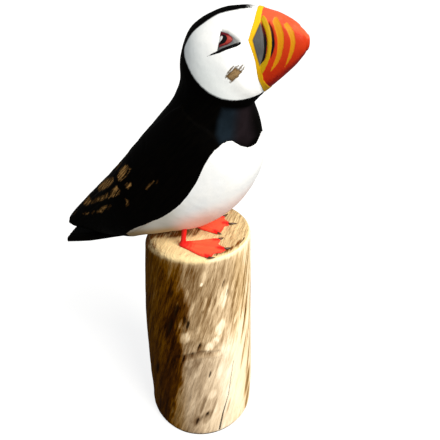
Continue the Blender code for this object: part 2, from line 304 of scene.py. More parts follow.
def spreadOf(tree, value, low, high, toLow=0, toHigh=1):
    inputs = {"Value": value, "From Min": low, "From Max": high, "To Min": toLow, "To Max": toHigh}
    return addNode(tree, "MapRange", inputs, interpolation_type="SMOOTHSTEP").outputs[0]


def roughOf(tree, tone, low, high):
    return spreadOf(tree, tone, 0, 1, low, high)


def newGroup(name, inputs, outputs):
    group = bpy.data.node_groups.new(name, "ShaderNodeTree")
    for label, kind, value in inputs:
        made = group.interface.new_socket(name=label, in_out="INPUT", socket_type="NodeSocket" + kind)
        made.default_value = value
    for label, kind in outputs:
        group.interface.new_socket(name=label, in_out="OUTPUT", socket_type="NodeSocket" + kind)
    return group, group.nodes.new("NodeGroupInput"), group.nodes.new("NodeGroupOutput")


def placeGroup(tree, group, inputs):
    return addNode(tree, "Group", inputs, node_tree=group).outputs


def makeBrushStrokes():  # bristle marks; lines run along Z of the given coordinates
    sockets = [("Coordinates", "Vector", (0, 0, 0)), ("Turn", "Vector", (0, 0, 0)), ("Across", "Float", 900),
               ("Along", "Float", 90), ("Seed", "Float", 0)]
    group, source, target = newGroup("brushStrokes", sockets, [("Tone", "Float"), ("Fine", "Float")])
    turned = addNode(group, "VectorRotate", {"Vector": source.outputs["Coordinates"],
                     "Rotation": source.outputs["Turn"]}, rotation_type="EULER_XYZ").outputs[0]
    parts = addNode(group, "SeparateXYZ", {0: turned}).outputs
    stretched = []
    for axis, size in (("X", "Across"), ("Y", "Across"), ("Z", "Along")):
        stretched.append(times(group, parts[axis], source.outputs[size]))
    place = addNode(group, "CombineXYZ", {"X": stretched[0], "Y": stretched[1], "Z": stretched[2]})
    for label, scale, detail in (("Tone", 1, 3), ("Fine", 2.7, 2)):
        inputs = {"Vector": place.outputs[0], "W": source.outputs["Seed"], "Scale": scale, "Detail": detail,
                  "Roughness": 0.55}
        noise = addNode(group, "TexNoise", inputs, noise_dimensions="4D")
        group.links.new(spreadOf(group, noise.outputs["Fac"], 0.25, 0.75), target.inputs[label])
    return group


def makePaintEdge():  # where one paint ends: a distance, roughened by a tone, becomes a mask
    sockets = [("Distance", "Float", 0), ("Tone", "Float", 0.5), ("Ragged", "Float", 0.5), ("Soft", "Float", 0.3)]
    group, source, target = newGroup("paintEdge", sockets, [("Mask", "Float")])
    shift = times(group, evenOut(group, source.outputs["Tone"]), source.outputs["Ragged"])
    moved = plus(group, source.outputs["Distance"], shift)
    low = times(group, source.outputs["Soft"], -0.5)
    high = times(group, source.outputs["Soft"], 0.5)
    group.links.new(spreadOf(group, moved, low, high), target.inputs["Mask"])
    return group


def makeWear():  # paint that lies unevenly: a mottled tone and a height for the bump
    sockets = [("Size", "Float", 60), ("Seed", "Float", 0)]
    group, source, target = newGroup("unevenPaint", sockets, [("Tone", "Float"), ("Height", "Float")])
    place = addNode(group, "TexCoord").outputs["Object"]
    inputs = {"Vector": place, "W": source.outputs["Seed"], "Scale": source.outputs["Size"], "Detail": 4,
              "Roughness": 0.6}
    broad = addNode(group, "TexNoise", inputs, noise_dimensions="4D").outputs["Fac"]
    fineSize = times(group, source.outputs["Size"], 14)
    inputs = {"Vector": place, "W": source.outputs["Seed"], "Scale": fineSize, "Detail": 2}
    fine = addNode(group, "TexNoise", inputs, noise_dimensions="4D").outputs["Fac"]
    group.links.new(spreadOf(group, broad, 0.3, 0.7), target.inputs["Tone"])
    height = timesPlus(group, fine, 0.35, broad)
    group.links.new(height, target.inputs["Height"])
    return group


brushStrokes, paintEdge, unevenPaint = makeBrushStrokes(), makePaintEdge(), makeWear()


def mottleAt(tree, size, seed):
    return placeGroup(tree, unevenPaint, {"Size": size, "Seed": seed})


def strokesAt(tree, turn, across, along, seed, coordinates=None):
    if coordinates is None:
        coordinates = addNode(tree, "TexCoord").outputs["Object"]
    inputs = {"Coordinates": coordinates, "Turn": tuple(math.radians(d) for d in turn), "Across": across,
              "Along": along, "Seed": seed}
    return placeGroup(tree, brushStrokes, inputs)


def edgeOf(tree, distance, tone, ragged, soft):
    return placeGroup(tree, paintEdge, {"Distance": distance, "Tone": tone, "Ragged": ragged, "Soft": soft})["Mask"]


def finishLook(material, colour, rough, specular, height, depth, strength=0.5):
    tree = material.node_tree
    bump = addNode(tree, "Bump", {"Height": height, "Distance": depth, "Strength": strength})
    inputs = {"Base Color": colour, "Roughness": rough, "Specular IOR Level": specular, "Normal": bump.outputs[0]}
    fillSockets(tree, tree.nodes["Principled BSDF"], inputs)
    return material


# Camera, light and floor


studio = {
    "lens": 45,
    "sensor": 36,
    "cameraPlace": (0.1141, -0.3516, 0.469),
    "heading": 15,  # degrees, turned from +Y towards -X
    "pitch": 34.2,  # degrees below the horizon
    "roll": 0.4,
    "keyFrom": (0.66, -0.4, 0.72),
    "keyPower": 4.4,
    "keySpread": 34,  # degrees across the soft key light
    "keyColour": (1, 0.95, 0.87),
    "skyColour": (0.93, 0.965, 1),
    "skyStrength": 0.45,
    "backdrop": 1,
    "floorReach": 6,
    "floorTone": 0.22,  # what the floor throws back
    "floorPale": 0.26,  # what is seen of it
    "floorGlow": 0.8,  # a lift that keeps the seen shadow pale
}


def buildStudio():
    heading, pitch, roll = (math.radians(studio[k]) for k in ("heading", "pitch", "roll"))
    forward = Vector((-math.sin(heading) * math.cos(pitch), math.cos(heading) * math.cos(pitch), -math.sin(pitch)))
    right = Vector((math.cos(heading), math.sin(heading), 0))
    up = right.cross(forward)
    tiltedRight = right * math.cos(roll) + up * math.sin(roll)
    tiltedUp = up * math.cos(roll) - right * math.sin(roll)
    lens = bpy.data.cameras.new("camera")
    lens.lens, lens.sensor_width = studio["lens"], studio["sensor"]
    lens.clip_start = 0.01
    camera = bpy.data.objects.new("camera", lens)
    scene.collection.objects.link(camera)
    turned = Matrix((tiltedRight, tiltedUp, -forward)).transposed().to_4x4()
    camera.matrix_world = Matrix.Translation(Vector(studio["cameraPlace"])) @ turned
    scene.camera = camera

    light = bpy.data.lights.new("keyLight", "SUN")
    light.energy, light.color = studio["keyPower"], studio["keyColour"]
    light.angle = math.radians(studio["keySpread"])
    lamp = bpy.data.objects.new("keyLight", light)
    scene.collection.objects.link(lamp)
    lamp.location = studio["keyFrom"]
    lamp.rotation_mode = "QUATERNION"
    lamp.rotation_quaternion = Vector(studio["keyFrom"]).to_track_quat("Z", "Y")

    world = bpy.data.worlds.new("sky")
    world.use_nodes = True
    tree = world.node_tree
    seen = addNode(tree, "LightPath").outputs["Is Camera Ray"]
    inputs = {"Value": seen, "To Min": studio["skyStrength"], "To Max": studio["backdrop"]}
    strength = addNode(tree, "MapRange", inputs).outputs[0]
    colour = blendOf(tree, seen, (*studio["skyColour"], 1), (1, 1, 1, 1))
    fillSockets(tree, tree.nodes["Background"], {"Color": colour, "Strength": strength})
    scene.world = world
    scene.view_settings.view_transform = "Standard"

    material, tree = newMaterial("paleFloor")
    tone = mottleAt(tree, 6, 3)["Tone"]
    low, high = studio["floorTone"], studio["floorPale"]
    seen = addNode(tree, "LightPath").outputs["Is Camera Ray"]
    colour = blendOf(tree, seen, (low, low, low, 1), (high, high, high, 1))
    colour = blendOf(tree, times(tree, tone, 0.02), colour, (0.8, 0.8, 0.8, 1))
    glow = times(tree, seen, studio["floorGlow"])
    inputs = {"Base Color": colour, "Roughness": 0.9, "Specular IOR Level": 0, "Emission Strength": glow,
              "Emission Color": (1, 1, 1, 1)}
    fillSockets(tree, tree.nodes["Principled BSDF"], inputs)
    mesh = bpy.data.meshes.new("floor")
    reach = studio["floorReach"]
    mesh.from_pydata([(-reach, -reach, 0), (reach, -reach, 0), (reach, reach, 0), (-reach, reach, 0)], [],
                     [(0, 1, 2, 3)])
    mesh.materials.append(material)
    floor = bpy.data.objects.new("floor", mesh)
    floor.location.z = logFoot - 0.0002
    scene.collection.objects.link(floor)


buildStudio()
print("studio ready")


# The bird's carved and painted body

carving = {
    "sections": [  # back x and z, belly x and z, half width, squareness; mm, z above the log's top
        (-116.3, -10, -115.5, -14.5, 2.5, 2),  # wing tips
        (-109, 0.2, -100.5, -13.5, 8.5, 2),
        (-91.8, 19.7, -81.5, -12.5, 17.5, 2.1),
        (-75.3, 37.4, -65, -9.4, 26, 2.3),  # rump
        (-63.4, 51.7, -48.8, -6.4, 32.5, 2.4),
        (-53.4, 63.4, -36.5, -0.8, 36.5, 2.5),
        (-42.3, 79, -13, 5.3, 38.5, 2.2),
        (-31.3, 92.4, 12.5, 14.3, 39, 2.1),  # belly
        (-22.6, 103.1, 37, 37, 38.5, 2.1),
        (-16, 111.5, 51.3, 68.5, 35.5, 2.1),  # breast
        (-11.5, 120, 49.3, 96, 28.5, 2),  # foot of the neck
        (-8, 130, 43.4, 112.8, 26.5, 2),  # nape and throat
        (-7, 146.5, 44.6, 117, 27.5, 2),
        (0.2, 164, 46.5, 119.5, 26.5, 2),
        (17.2, 175.3, 48, 121.5, 24.5, 2),  # crown and chin
        (31.5, 178.7, 49.5, 123, 19.5, 2),
        (43, 178.9, 51.1, 125.1, 14.5, 2.1),  # root of the bill
        (54.8, 176.3, 58.3, 131.8, 12, 2.2),
        (65.1, 172.1, 68.8, 142.8, 9.4, 2.2),
        (72.2, 167.4, 74.5, 150.6, 6.6, 2.1),
        (75.7, 164.2, 76.3, 154.2, 3.9, 2.1),  # tip of the bill
    ],
    "billLine": [  # where the head ends, x and z
        (52.5, 117), (50.3, 130.5), (48.3, 137), (47.5, 141.5), (46.3, 149), (44.1, 155.5), (41.4, 162),
        (42.6, 167.5),
        (43.6, 172), (43.9, 176), (44.6, 188),
    ],
    "strokeTurn": (0, -38.5, 0),  # brush strokes lean up and forward
    "columns": 300,
    "bodyRows": 300,
    "headRows": 110,
    "bodyEnd": 13,  # the section from which rows lean towards the bill line
    "wingRelief": 1.1,
    "wingLine": [  # x, lower edge, upper limit
        (-121, -19, 60), (-100, -15.5, 90), (-84, -11, 120), (-60, -1, 140), (-42, 11.5, 140), (-24.5, 27, 140),
        (-11, 39.5, 126), (1.5, 54.5, 114), (10, 66.5, 109), (18, 79.5, 106), (24, 89.5, 101.5), (26.8, 93.5, 96.5),
    ],
    "whiteBorder": [  # height of the black and white border at each angle round the breast
        (0, 94.1), (4, 93.9), (10, 92.6), (17, 90.8), (24, 90), (36, 90.5), (49, 94.1), (57, 97.4), (63, 97.7),
        (69, 96.4),
        (79, 92.6), (85, 87.6), (90, 81), (97, 69.2), (106, 57.8), (114.5, 48.7), (123, 41), (133, 32.5),
        (136.5, 29.8), (142, 25.4), (147.5, 20), (151.5, 14.4), (155, 9), (158, 3), (162, -6), (168, -12),
        (180, -20),
    ],
    "borderCentre": 18,
    "underTail": -70,
    "face": (40.5, 200.6, 54.8, 76.2),  # centre x and z, radii
    "crown": (3.3, 0.24, 43.3),  # half width at the front, growth, front x
    "chip": [(30, 141.2), (32.2, 144.1), (34.1, 146.3), (36, 146.8), (37.8, 145.5), (39.3, 144.4), (39, 142.9),
             (37.2, 140.9), (35.7, 139.4), (33.8, 138.1), (31.3, 139.5)],
    "chipStrokes": [  # points of x, z and half width, where the gouge ran out
        [(30.9, 143.4, 0.3), (32.7, 146, 0.62), (34.2, 147.8, 0.2)], [(35.2, 145.9, 0.8), (36.9, 147.8, 0.3)],
        [(37.5, 145.3, 0.8), (39.3, 147.7, 0.35)], [(38.6, 143.6, 0.6), (40.3, 146.4, 0.35)],
        [(29.3, 139.6, 0.2), (30.6, 141.6, 0.7)], [(32.5, 137.1, 0.25), (34.1, 139, 0.8)],
    ],
    # painted shadow along the chip's left edge
    "chipEdgeShadow": [(32, 143.1, 0.2), (33.4, 144.8, 0.5), (34.9, 146.5, 0.3)],
    "wingMarks": [  # bare strokes on the folded wings: brightness, outline
        (1, [(-49.9, 55.4), (-52.2, 57.2), (-49.3, 62), (-45.2, 66.2), (-41.3, 67.4), (-43, 63.7),
               (-44.6, 60.2), (-47, 56.3)]),
        (0.55, [(-45.8, 57.5), (-43.8, 61.1), (-40.8, 65.4), (-38, 67.7), (-39.7, 64.7), (-42.6, 60.4)]),
        (0.85, [(-76.7, 32.7), (-79.4, 32.5), (-72.1, 40.1), (-62.9, 48.3), (-56.6, 53.1), (-55.2, 51.8),
                (-58.3, 47.7), (-68.9, 37.9)]),
        (0.75, [(-81.8, 21.8), (-77.1, 28), (-68.4, 34.9), (-59.5, 42.3), (-61.7, 37.5), (-68.1, 32),
                (-75.3, 27.1)]),
        (0.85, [(-60.8, 37.5), (-58, 43.1), (-50.7, 51.6), (-47.7, 50.5), (-52.9, 43.2)]),
        (0.95, [(-52.1, 43.5), (-49.6, 47.8), (-46.8, 49.8), (-47.6, 47.1), (-50.4, 44.7)]),
        (0.6, [(-95, 13.5), (-95.5, 14.3), (-90.5, 20.9), (-86, 22.3), (-81, 24.3), (-86, 18.7),
               (-90.3, 15.6)]),
        (0.75, [(-42.5, 54.9), (-40.6, 57.2), (-37.3, 58.9), (-36.8, 56.8), (-39.5, 53.7), (-41.6, 53.8)]),
        (0.6, [(-93.1, 7.8), (-88.7, 11.8), (-84.3, 14.1), (-87, 11.1)]),
        (0.75, [(-75, 18.9), (-71.8, 22.9), (-65.9, 29), (-60.3, 33.3), (-62.7, 29), (-69.9, 21.6)]),
        (0.3, [(-42.5, 45.7), (-39.5, 45.3), (-39.2, 42.1), (-42.6, 38.5), (-41.4, 41.8)]),
    ],
    "wingStrokes": [  # brightness, then points of x, z, half width
        (0.35, [(-24.2, 57.3, 0.5), (-21.6, 61, 0.7), (-18.3, 64.8, 0.4)]),
        (0.2, [(-16.2, 63.2, 0.3), (-15.3, 66, 0.3)]),
        (0.3, [(-57.5, 56.7, 0.8), (-52.3, 62.4, 0.3)]),
        (0.2, [(-49.4, 67.9, 0.4), (-46.6, 70.9, 0.3)]),
        (0.3, [(-107.6, -0.5, 0.2), (-103.3, 4.6, 0.3)]),
        (0.5, [(-81, 15.2, 0.5), (-77.2, 19.2, 0.4)]),
        (0.4, [(-60.8, 29.2, 0.5), (-56.9, 34.7, 0.4)]),
    ],
    "wingGaps": [  # painted lines across the bare strokes
        [(-61.8, 36.6, 0.45), (-60.1, 39.1, 0.5), (-57.5, 43.8, 0.4)],
        [(-52.8, 43, 0.3), (-50.6, 46.5, 0.5), (-48.3, 50.3, 0.4)],
        [(-46.4, 58.1, 0.3), (-42.4, 62.3, 0.45), (-40.5, 65.5, 0.4)],
    ],
    "lash": [(36.6, 160.5, 0.75), (34.6, 159.7, 1), (31.7, 158.8, 0.92), (28.8, 157.8, 0.86), (27, 157, 0.86),
             (24.9, 155.9, 0.84), (22.6, 154.9, 0.62), (20, 153.8, 0.4), (17.2, 152.3, 0.05)],
    # outline of the painted shade round the eye
    "eyeShade": [(25.3, 165.9), (28.4, 165.7), (32, 163.8), (35.1, 161.5), (33, 161), (29, 161.4), (26.2, 162.4)],
    "eyeBack": ((155.5, 165.5), (23.4, 24.9)),  # heights, and how far back the shade round the eye may reach
    "collar": [(27, 120), (42.5, 116.5), (45.3, 105.5), (48, 95), (43.8, 91), (34.3, 97), (27.5, 96),
               (24, 102.3), (24.5, 111.5)],
}


def carvedPoints(at, turn):
    backX, backZ, bellyX, bellyZ, halfWidth, square = np.moveaxis(throughRows(carving["sections"], at), -1, 0)
    lift = rounded(np.cos(turn), 2 / square)
    side = rounded(np.sin(turn), 2 / square) * halfWidth
    x = (backX + bellyX) / 2 + (backX - bellyX) / 2 * lift
    z = (backZ + bellyZ) / 2 + (backZ - bellyZ) / 2 * lift
    return np.stack([x, side, z], -1)


def billLineAt(turn, shift=0):  # the section place where the carving crosses the bill line
    line = np.array(carving["billLine"])
    low, high = np.full(turn.shape, 12.5), np.full(turn.shape, 20.0)
    for _ in range(40):
        middle = (low + high) / 2
        points = carvedPoints(middle, turn)
        beyond = points[..., 0] > np.interp(points[..., 2], line[:, 1], line[:, 0]) + shift
        low, high = np.where(beyond, low, middle), np.where(beyond, middle, high)
    return (low + high) / 2


def closedIn(points, steps, start, bulge=0.5):  # rings that close an end in a soft curve
    ring = points[0] if start else points[-1]
    centre = ring.mean(0)
    inner = points[1] if start else points[-2]
    outward = (centre - inner.mean(0))
    outward /= np.linalg.norm(outward)
    radius = np.linalg.norm(ring - centre, axis=-1).mean()
    rings = []
    for k in range(1, steps + 1):
        angle = math.pi / 2 * k / (steps + 0.3)
        rings.append(centre + (ring - centre) * math.cos(angle) + outward * radius * bulge * math.sin(angle))
    rings = np.array(rings)
    return np.concatenate([rings[::-1], points]) if start else np.concatenate([points, rings])


def wingInside(points):  # distance inside a folded wing's outline
    x, y, z = np.moveaxis(points, -1, 0)
    line = np.array(carving["wingLine"], float)
    lower, upper = (np.interp(x, line[:, 0], line[:, k]) for k in (1, 2))
    share = np.clip((x + 84) / (26.8 + 84), 0, 1)
    inset = 0.3 + 26.7 * share
    inside = np.minimum((z - lower) * 0.72, (upper - z) * 0.72)
    inside = np.minimum(inside, np.abs(y) - inset)
    return np.minimum(inside, 27.5 - x)


def faceInside(points):  # distance inside the white face
    x, y, z = np.moveaxis(points, -1, 0)
    centreX, centreZ, radiusX, radiusZ = carving["face"]
    disc = (1 - np.hypot((x - centreX) / radiusX, (z - centreZ) / radiusZ)) * radiusZ
    halfWidth, growth, front = carving["crown"]
    crown = (np.abs(y) - halfWidth - growth * (front - x)) * 0.95
    blend = 3
    near = np.clip(0.5 + (disc - crown) / (2 * blend), 0, 1)
    return disc * (1 - near) + crown * near - blend * near * (1 - near)


def featherRelief(points, inside):  # shallow gouge lines that part the wing feathers
    x, _, z = np.moveaxis(points, -1, 0)
    along = (20 - x) * 0.772 + (100 - z) * 0.636
    across = (20 - x) * -0.636 + (100 - z) * 0.772
    bow = across + 5 * np.sin(along / 46)
    primaries = np.abs(((bow / 6.2) % 1) - 0.5) * 2
    groove = -0.32 * eased(primaries, 0.62, 1) * eased(along, 82, 112)
    row = along / 17
    stagger = np.floor(row) % 2 * 0.5
    cell = ((bow / 11 + stagger) % 1 - 0.5) * 2
    scale = (row % 1) - 0.28 * cell**2
    step = -0.26 * eased(scale, 0.62, 0.76) * faded(scale, 0.76, 0.98)
    step = step * eased(along, 26, 44) * faded(along, 88, 104)
    return (groove + step) * eased(inside, 1.5, 4)


def buildBody():
    columns = carving["columns"]
    turn = fullTurn(columns)
    bodyRows = np.linspace(0, carving["bodyEnd"], carving["bodyRows"], endpoint=False)
    at = np.repeat(bodyRows[:, None], columns, 1)
    end = billLineAt(turn)
    share = np.linspace(0, 1, carving["headRows"])[:, None]
    at = np.concatenate([at, carving["bodyEnd"] + (end[None] - carving["bodyEnd"]) * share])
    points = carvedPoints(at, turn[None])
    normals = outwardNormals(points)
    x, y, z = np.moveaxis(points, -1, 0)

    inside = wingInside(points)
    face = faceInside(points)
    angle = np.degrees(np.arctan2(np.abs(y), x - carving["borderCentre"]))
    border = np.array(carving["whiteBorder"], float)
    black = (z - np.interp(angle, border[:, 0], border[:, 1])) * 0.85
    half = columns // 2
    falling = black.copy()  # under the tail the white goes on round from side to side
    falling[:, :half + 1] = np.minimum.accumulate(falling[:, :half + 1], axis=1)
    falling[:, half:] = np.minimum.accumulate(falling[:, half:][:, ::-1], axis=1)[:, ::-1]
    black = np.where(x < carving["borderCentre"], falling, black)
    black = np.where((z < 30) & (x < 0), np.maximum(black, carving["underTail"] - x), black)
    black = np.minimum(black, -face)
    marks = np.full(x.shape, -9.0)
    markTone = np.zeros(x.shape)
    farSide = y > 0
    markX, markZ = np.where(farSide, x * 0.93 - 1.5, x), np.where(farSide, z * 1.06 - 3.0, z)
    for key, distanceTo in (("wingMarks", insideOf), ("wingStrokes", alongStroke)):
        for tone, line in carving[key]:
            distance = distanceTo(line, markX, markZ)
            markTone = np.where(distance > marks, tone, markTone)
            marks = np.maximum(marks, distance)
    for line in carving["wingGaps"]:
        marks = np.minimum(marks, -4 * alongStroke(line, markX, markZ))
    markTone = markTone * (0.5 + cloud(points, (5, 9, 5), 13))
    relief = carving["wingRelief"] * eased(inside, -0.2, 1.5) + featherRelief(points, inside)
    relief -= 0.3 * eased(marks, -0.6, 0.8)
    relief += 0.16 * eased(face, -0.3, 0.3)  # the white paint lies thick over the black
    chip = np.max([insideOf(carving["chip"], x, z)] + [alongStroke(line, x, z) for line in carving["chipStrokes"]], 0)
    chip = np.where(farSide, -9.0, chip)
    relief -= 0.4 * eased(chip, -0.5, 0.7)
    relief += 0.34 * (ripple(points, 9, 11) + 0.4 * ripple(points, 3.2, 12))  # knife work under the paint
    relief *= eased(at, 0, 0.4)
    edge = eased((end[None] - at), 0, 0.03)
    points = points + normals * relief[..., None] * np.clip(edge, 0.15, 1)[..., None]

    values = {
        "blackPaint": black,
        "borderSoft": 0.35 + 1.3 * eased(np.abs(face), 5, 2) * eased(x, 50, 26) * eased(z, 112, 124),
        "bareMark": marks,
        "bareTone": markTone,
        "chip": chip,
        "chipEdgeShadow": alongStroke(carving["chipEdgeShadow"], x, z),
        "lash": alongStroke(carving["lash"], x, z),
        "eyeShade": np.minimum(insideOf(carving["eyeShade"], x, z), 3 * (x - np.interp(z, *carving["eyeBack"])) - 2),
        # painted shade on the rear and lower face
        "cheekShade": eased((37 - x) * 0.78 + (160 - z) * 0.62, 8, 31) * eased(z, 108, 120),
        "collarSheen": eased(insideOf(carving["collar"], x, z), -1.5, 3.5) * (x > 10),
        "sheenTurn": eased(x, 32, 39.5),
        # painted shade under the rump
        "rumpShade": eased(x, 12, -14) * eased(z, 64, 42),
        # painted shade under the belly next to the log, warmed as if by light thrown back from the wood
        "underWarmShade": eased(z - 0.25 * x, 29, 19) * eased(x, 8, -6),
        # painted shade towards the tail end
        "tailShade": eased(x, -20, -42) * eased(z, 60, 30),
        # painted reflection of the red feet on the white belly
        "footReflection": eased(z - 0.45 * x, 42, 22) * eased(x, -14, 3) * (1 - 0.5 * eased(x, 14, 34)),
        "crownDry": eased(x, 35, 45) * eased(z, 166, 172),
    }
    steps, shares = 7, (0.97, 0.9, 0.5, 0.1)
    points = closedIn(points, steps, True)
    inward = points[-1].mean(0)
    caps = [inward + (points[-1] - inward) * s - np.array([2 * (1 - s), 0, 0]) for s in shares]
    points = np.concatenate([points, caps])
    return tubePiece("carved_body", placeInWorld(points), withEnds(values, steps, len(shares)))


bodyPaint = coloursOf({
    "white": (247, 248, 247),
    "whiteShade": (238, 241, 243),
    "cheekShade": (212, 219, 220),
    "rumpShade": (196, 193, 184),
    # colour of the painted warm shade under the belly
    "underWarmShade": (190, 163, 122),
    "tailShade": (112, 94, 70),
    # colour of the painted reflection of the red feet
    "footReflection": (254, 201, 182),
    "black": (1, 1, 1),
    "blackWarm": (4, 3, 2),
    "wood": (146, 120, 84),
    "woodDark": (92, 70, 42),
    "gouged": (84, 66, 42),
    "mark": (164, 124, 72),
    "markDark": (28, 14, 2),
    "grey": (104, 106, 106),
    "sheenBlue": (22, 32, 40),
    "sheenBrown": (28, 22, 25),
})


def paintBody():
    material, tree = newMaterial("paintedBody")
    turn = carving["strokeTurn"]
    broad = strokesAt(tree, turn, 420, 60, 1)
    hatch = strokesAt(tree, turn, 1300, 150, 2)
    mottle = mottleAt(tree, 55, 5)

    white = blendOf(tree, mottle["Tone"], bodyPaint["whiteShade"], bodyPaint["white"])
    # painted shade under the rump and the belly, the painted reflection of the red feet, then painted shade at the
    # tail end and the rear of the face, laid over the white
    for key in ("rumpShade", "underWarmShade", "footReflection"):
        white = blendOf(tree, key, white, bodyPaint[key])
    for key, share in (("tailShade", 0.5), ("cheekShade", 0.8)):
        white = blendOf(tree, times(tree, key, share), white, bodyPaint[key])
    # painted shade round the eye, darkest beside it
    eyeShade = spreadOf(tree, "eyeShade", -3.4, 0.2, 0, 0.95)
    white = blendOf(tree, eyeShade, white, bodyPaint["grey"])
    lash = edgeOf(tree, "lash", hatch["Tone"], 0.12, 0.25)
    white = blendOf(tree, lash, white, bodyPaint["black"])
    gouge = strokesAt(tree, turn, 1150, 55, 3)
    furrow = strokesAt(tree, turn, 680, 40, 14)
    chip = edgeOf(tree, "chip", gouge["Tone"], 1, 1)
    chipWood = blendOf(tree, spreadOf(tree, gouge["Fine"], 0, 0.6), bodyPaint["woodDark"], bodyPaint["wood"])
    chipRim = edgeOf(tree, minus(tree, "chip", 0.8), gouge["Tone"], 1.6, 1)
    # painted shadow along the chip's left edge darkens the bare wood there
    chipRim = times(tree, chipRim, restOf(tree, edgeOf(tree, "chipEdgeShadow", hatch["Tone"], 0.2, 0.5)))
    chipWood = blendOf(tree, chipRim, bodyPaint["gouged"], chipWood)
    white = blendOf(tree, chip, white, chipWood)

    black = blendOf(tree, broad["Tone"], bodyPaint["black"], bodyPaint["blackWarm"])
    sheenColour = blendOf(tree, "sheenTurn", bodyPaint["sheenBlue"], bodyPaint["sheenBrown"])
    sheen = times(tree, "collarSheen", spreadOf(tree, mottle["Tone"], 0, 1, 0.6, 1))
    black = blendOf(tree, sheen, black, sheenColour)
    tone = times(tree, "bareTone", spreadOf(tree, gouge["Fine"], 0.28, 0.74, 0.12, 1.25))
    tone = times(tree, tone, spreadOf(tree, furrow["Tone"], 0.2, 0.75, 0.16, 1.3))
    tone = times(tree, tone, spreadOf(tree, "bareMark", -0.2, 1.4, 0.35, 1))
    mark = edgeOf(tree, plus(tree, "bareMark", 0.12), gouge["Tone"], 1.3, 0.6)
    markColour = blendOf(tree, tone, bodyPaint["markDark"], bodyPaint["mark"])
    black = blendOf(tree, mark, black, markColour)

    isBlack = edgeOf(tree, "blackPaint", broad["Tone"], 0.5, "borderSoft")
    dry = timesPlus(tree, evenOut(tree, hatch["Tone"]), 0.9, "crownDry")
    dry = times(tree, spreadOf(tree, dry, 0.05, 0.85), spreadOf(tree, "crownDry", 0, 0.15))
    isBlack = times(tree, isBlack, restOf(tree, dry))
    colour = blendOf(tree, isBlack, white, black)
    whiteRough, blackRough = roughOf(tree, mottle["Tone"], 0.42, 0.55), roughOf(tree, broad["Tone"], 0.55, 0.7)
    rough = betweenOf(tree, isBlack, whiteRough, blackRough)
    rough = larger(tree, rough, times(tree, larger(tree, chip, mark), 0.8))
    height = timesPlus(tree, broad["Fine"], 0.5, mottle["Height"])
    return finishLook(material, colour, rough, 0.01, height, 0.00022)


body = buildBody()
settle(body, "white_paint", paintBody(), "mantle", "breast_and_belly", "neck", "head", "face_left", "face_right",
       "wing_left", "wing_right")
bodyTree = BVHTree.FromPolygons([v.co for v in body.data.vertices], [tuple(p.vertices) for p in body.data.polygons])
print("body carved:", len(body.data.polygons), "faces")


# The bill

bill = {
    "rows": 190,
    "columns": 260,
    "rootBand": [(42, 190), (42, 177), (39, 162), (42, 154), (45.5, 138), (49, 117), (62, 117), (54.1, 130.9),
                 (51.1, 136.4), (50.5, 140.7), (49, 146.1), (43.9, 161.9), (47.2, 171.3), (47.2, 174.7),
                 (47, 177.7), (48.2, 190)],
    "plate": [(47.3, 171.3), (43.9, 161.9), (49, 146.1), (50.3, 150.6), (50.9, 156.2), (50.3, 162.3), (48.8, 167.9)],
    # painted shadow in the groove between the plate and the ridge
    "shadowArc": [(48.2, 171.6), (50.8, 166.7), (52.3, 161.4), (52.5, 156.1), (51.8, 150.4), (49.4, 145.6),
                (48.9, 150.2), (49.4, 156.2), (49.2, 162.3), (47.9, 167.9)],
    "ridge": [(48.6, 175.1), (52.4, 170.9), (54.7, 165.3), (55.5, 160.4), (55.5, 155.8), (54.7, 150.9), (52.9, 145.9),
              (50.5, 140), (48.9, 145.6), (52, 150.4), (52.9, 156.1), (52.6, 161.4), (51, 166.7), (48.2, 171.6),
              (46.9, 173)],
    # painted shadow in the groove in front of the ridge
    "frontShadowArc": [(52, 172.2), (55, 168.4), (56.9, 162.4), (57.2, 157.3), (55.4, 150.6), (54.6, 155.8),
                 (54.6, 160.4), (53.9, 165.3)],
    "crescents": [  # outline, and which corner is its sharp lower tip
        ([(54.5, 172.6), (55.7, 174.4), (57.5, 173.3), (59.9, 170.3), (62.3, 164.4), (62.6, 158.4), (61.5, 152),
          (59, 146.4), (55.5, 142), (57.7, 148.7), (58.9, 154.2), (59, 159.4), (58.2, 164.4), (56.4, 168.6)], 8),
        ([(61.5, 170.4), (62.8, 171.6), (64.8, 170.4), (67.5, 167.3), (69.3, 162.8), (69.5, 158.3), (68.4, 153.4),
          (66.5, 148.9), (64.2, 145), (65.4, 149.6), (66.3, 154.1), (66.8, 158.3), (66.3, 162.9), (64.2, 167)], 8),
    ],
    "plateRise": 0.45,
    "ridgeRise": 0.4,
    "grooveDepth": 0.35,
}


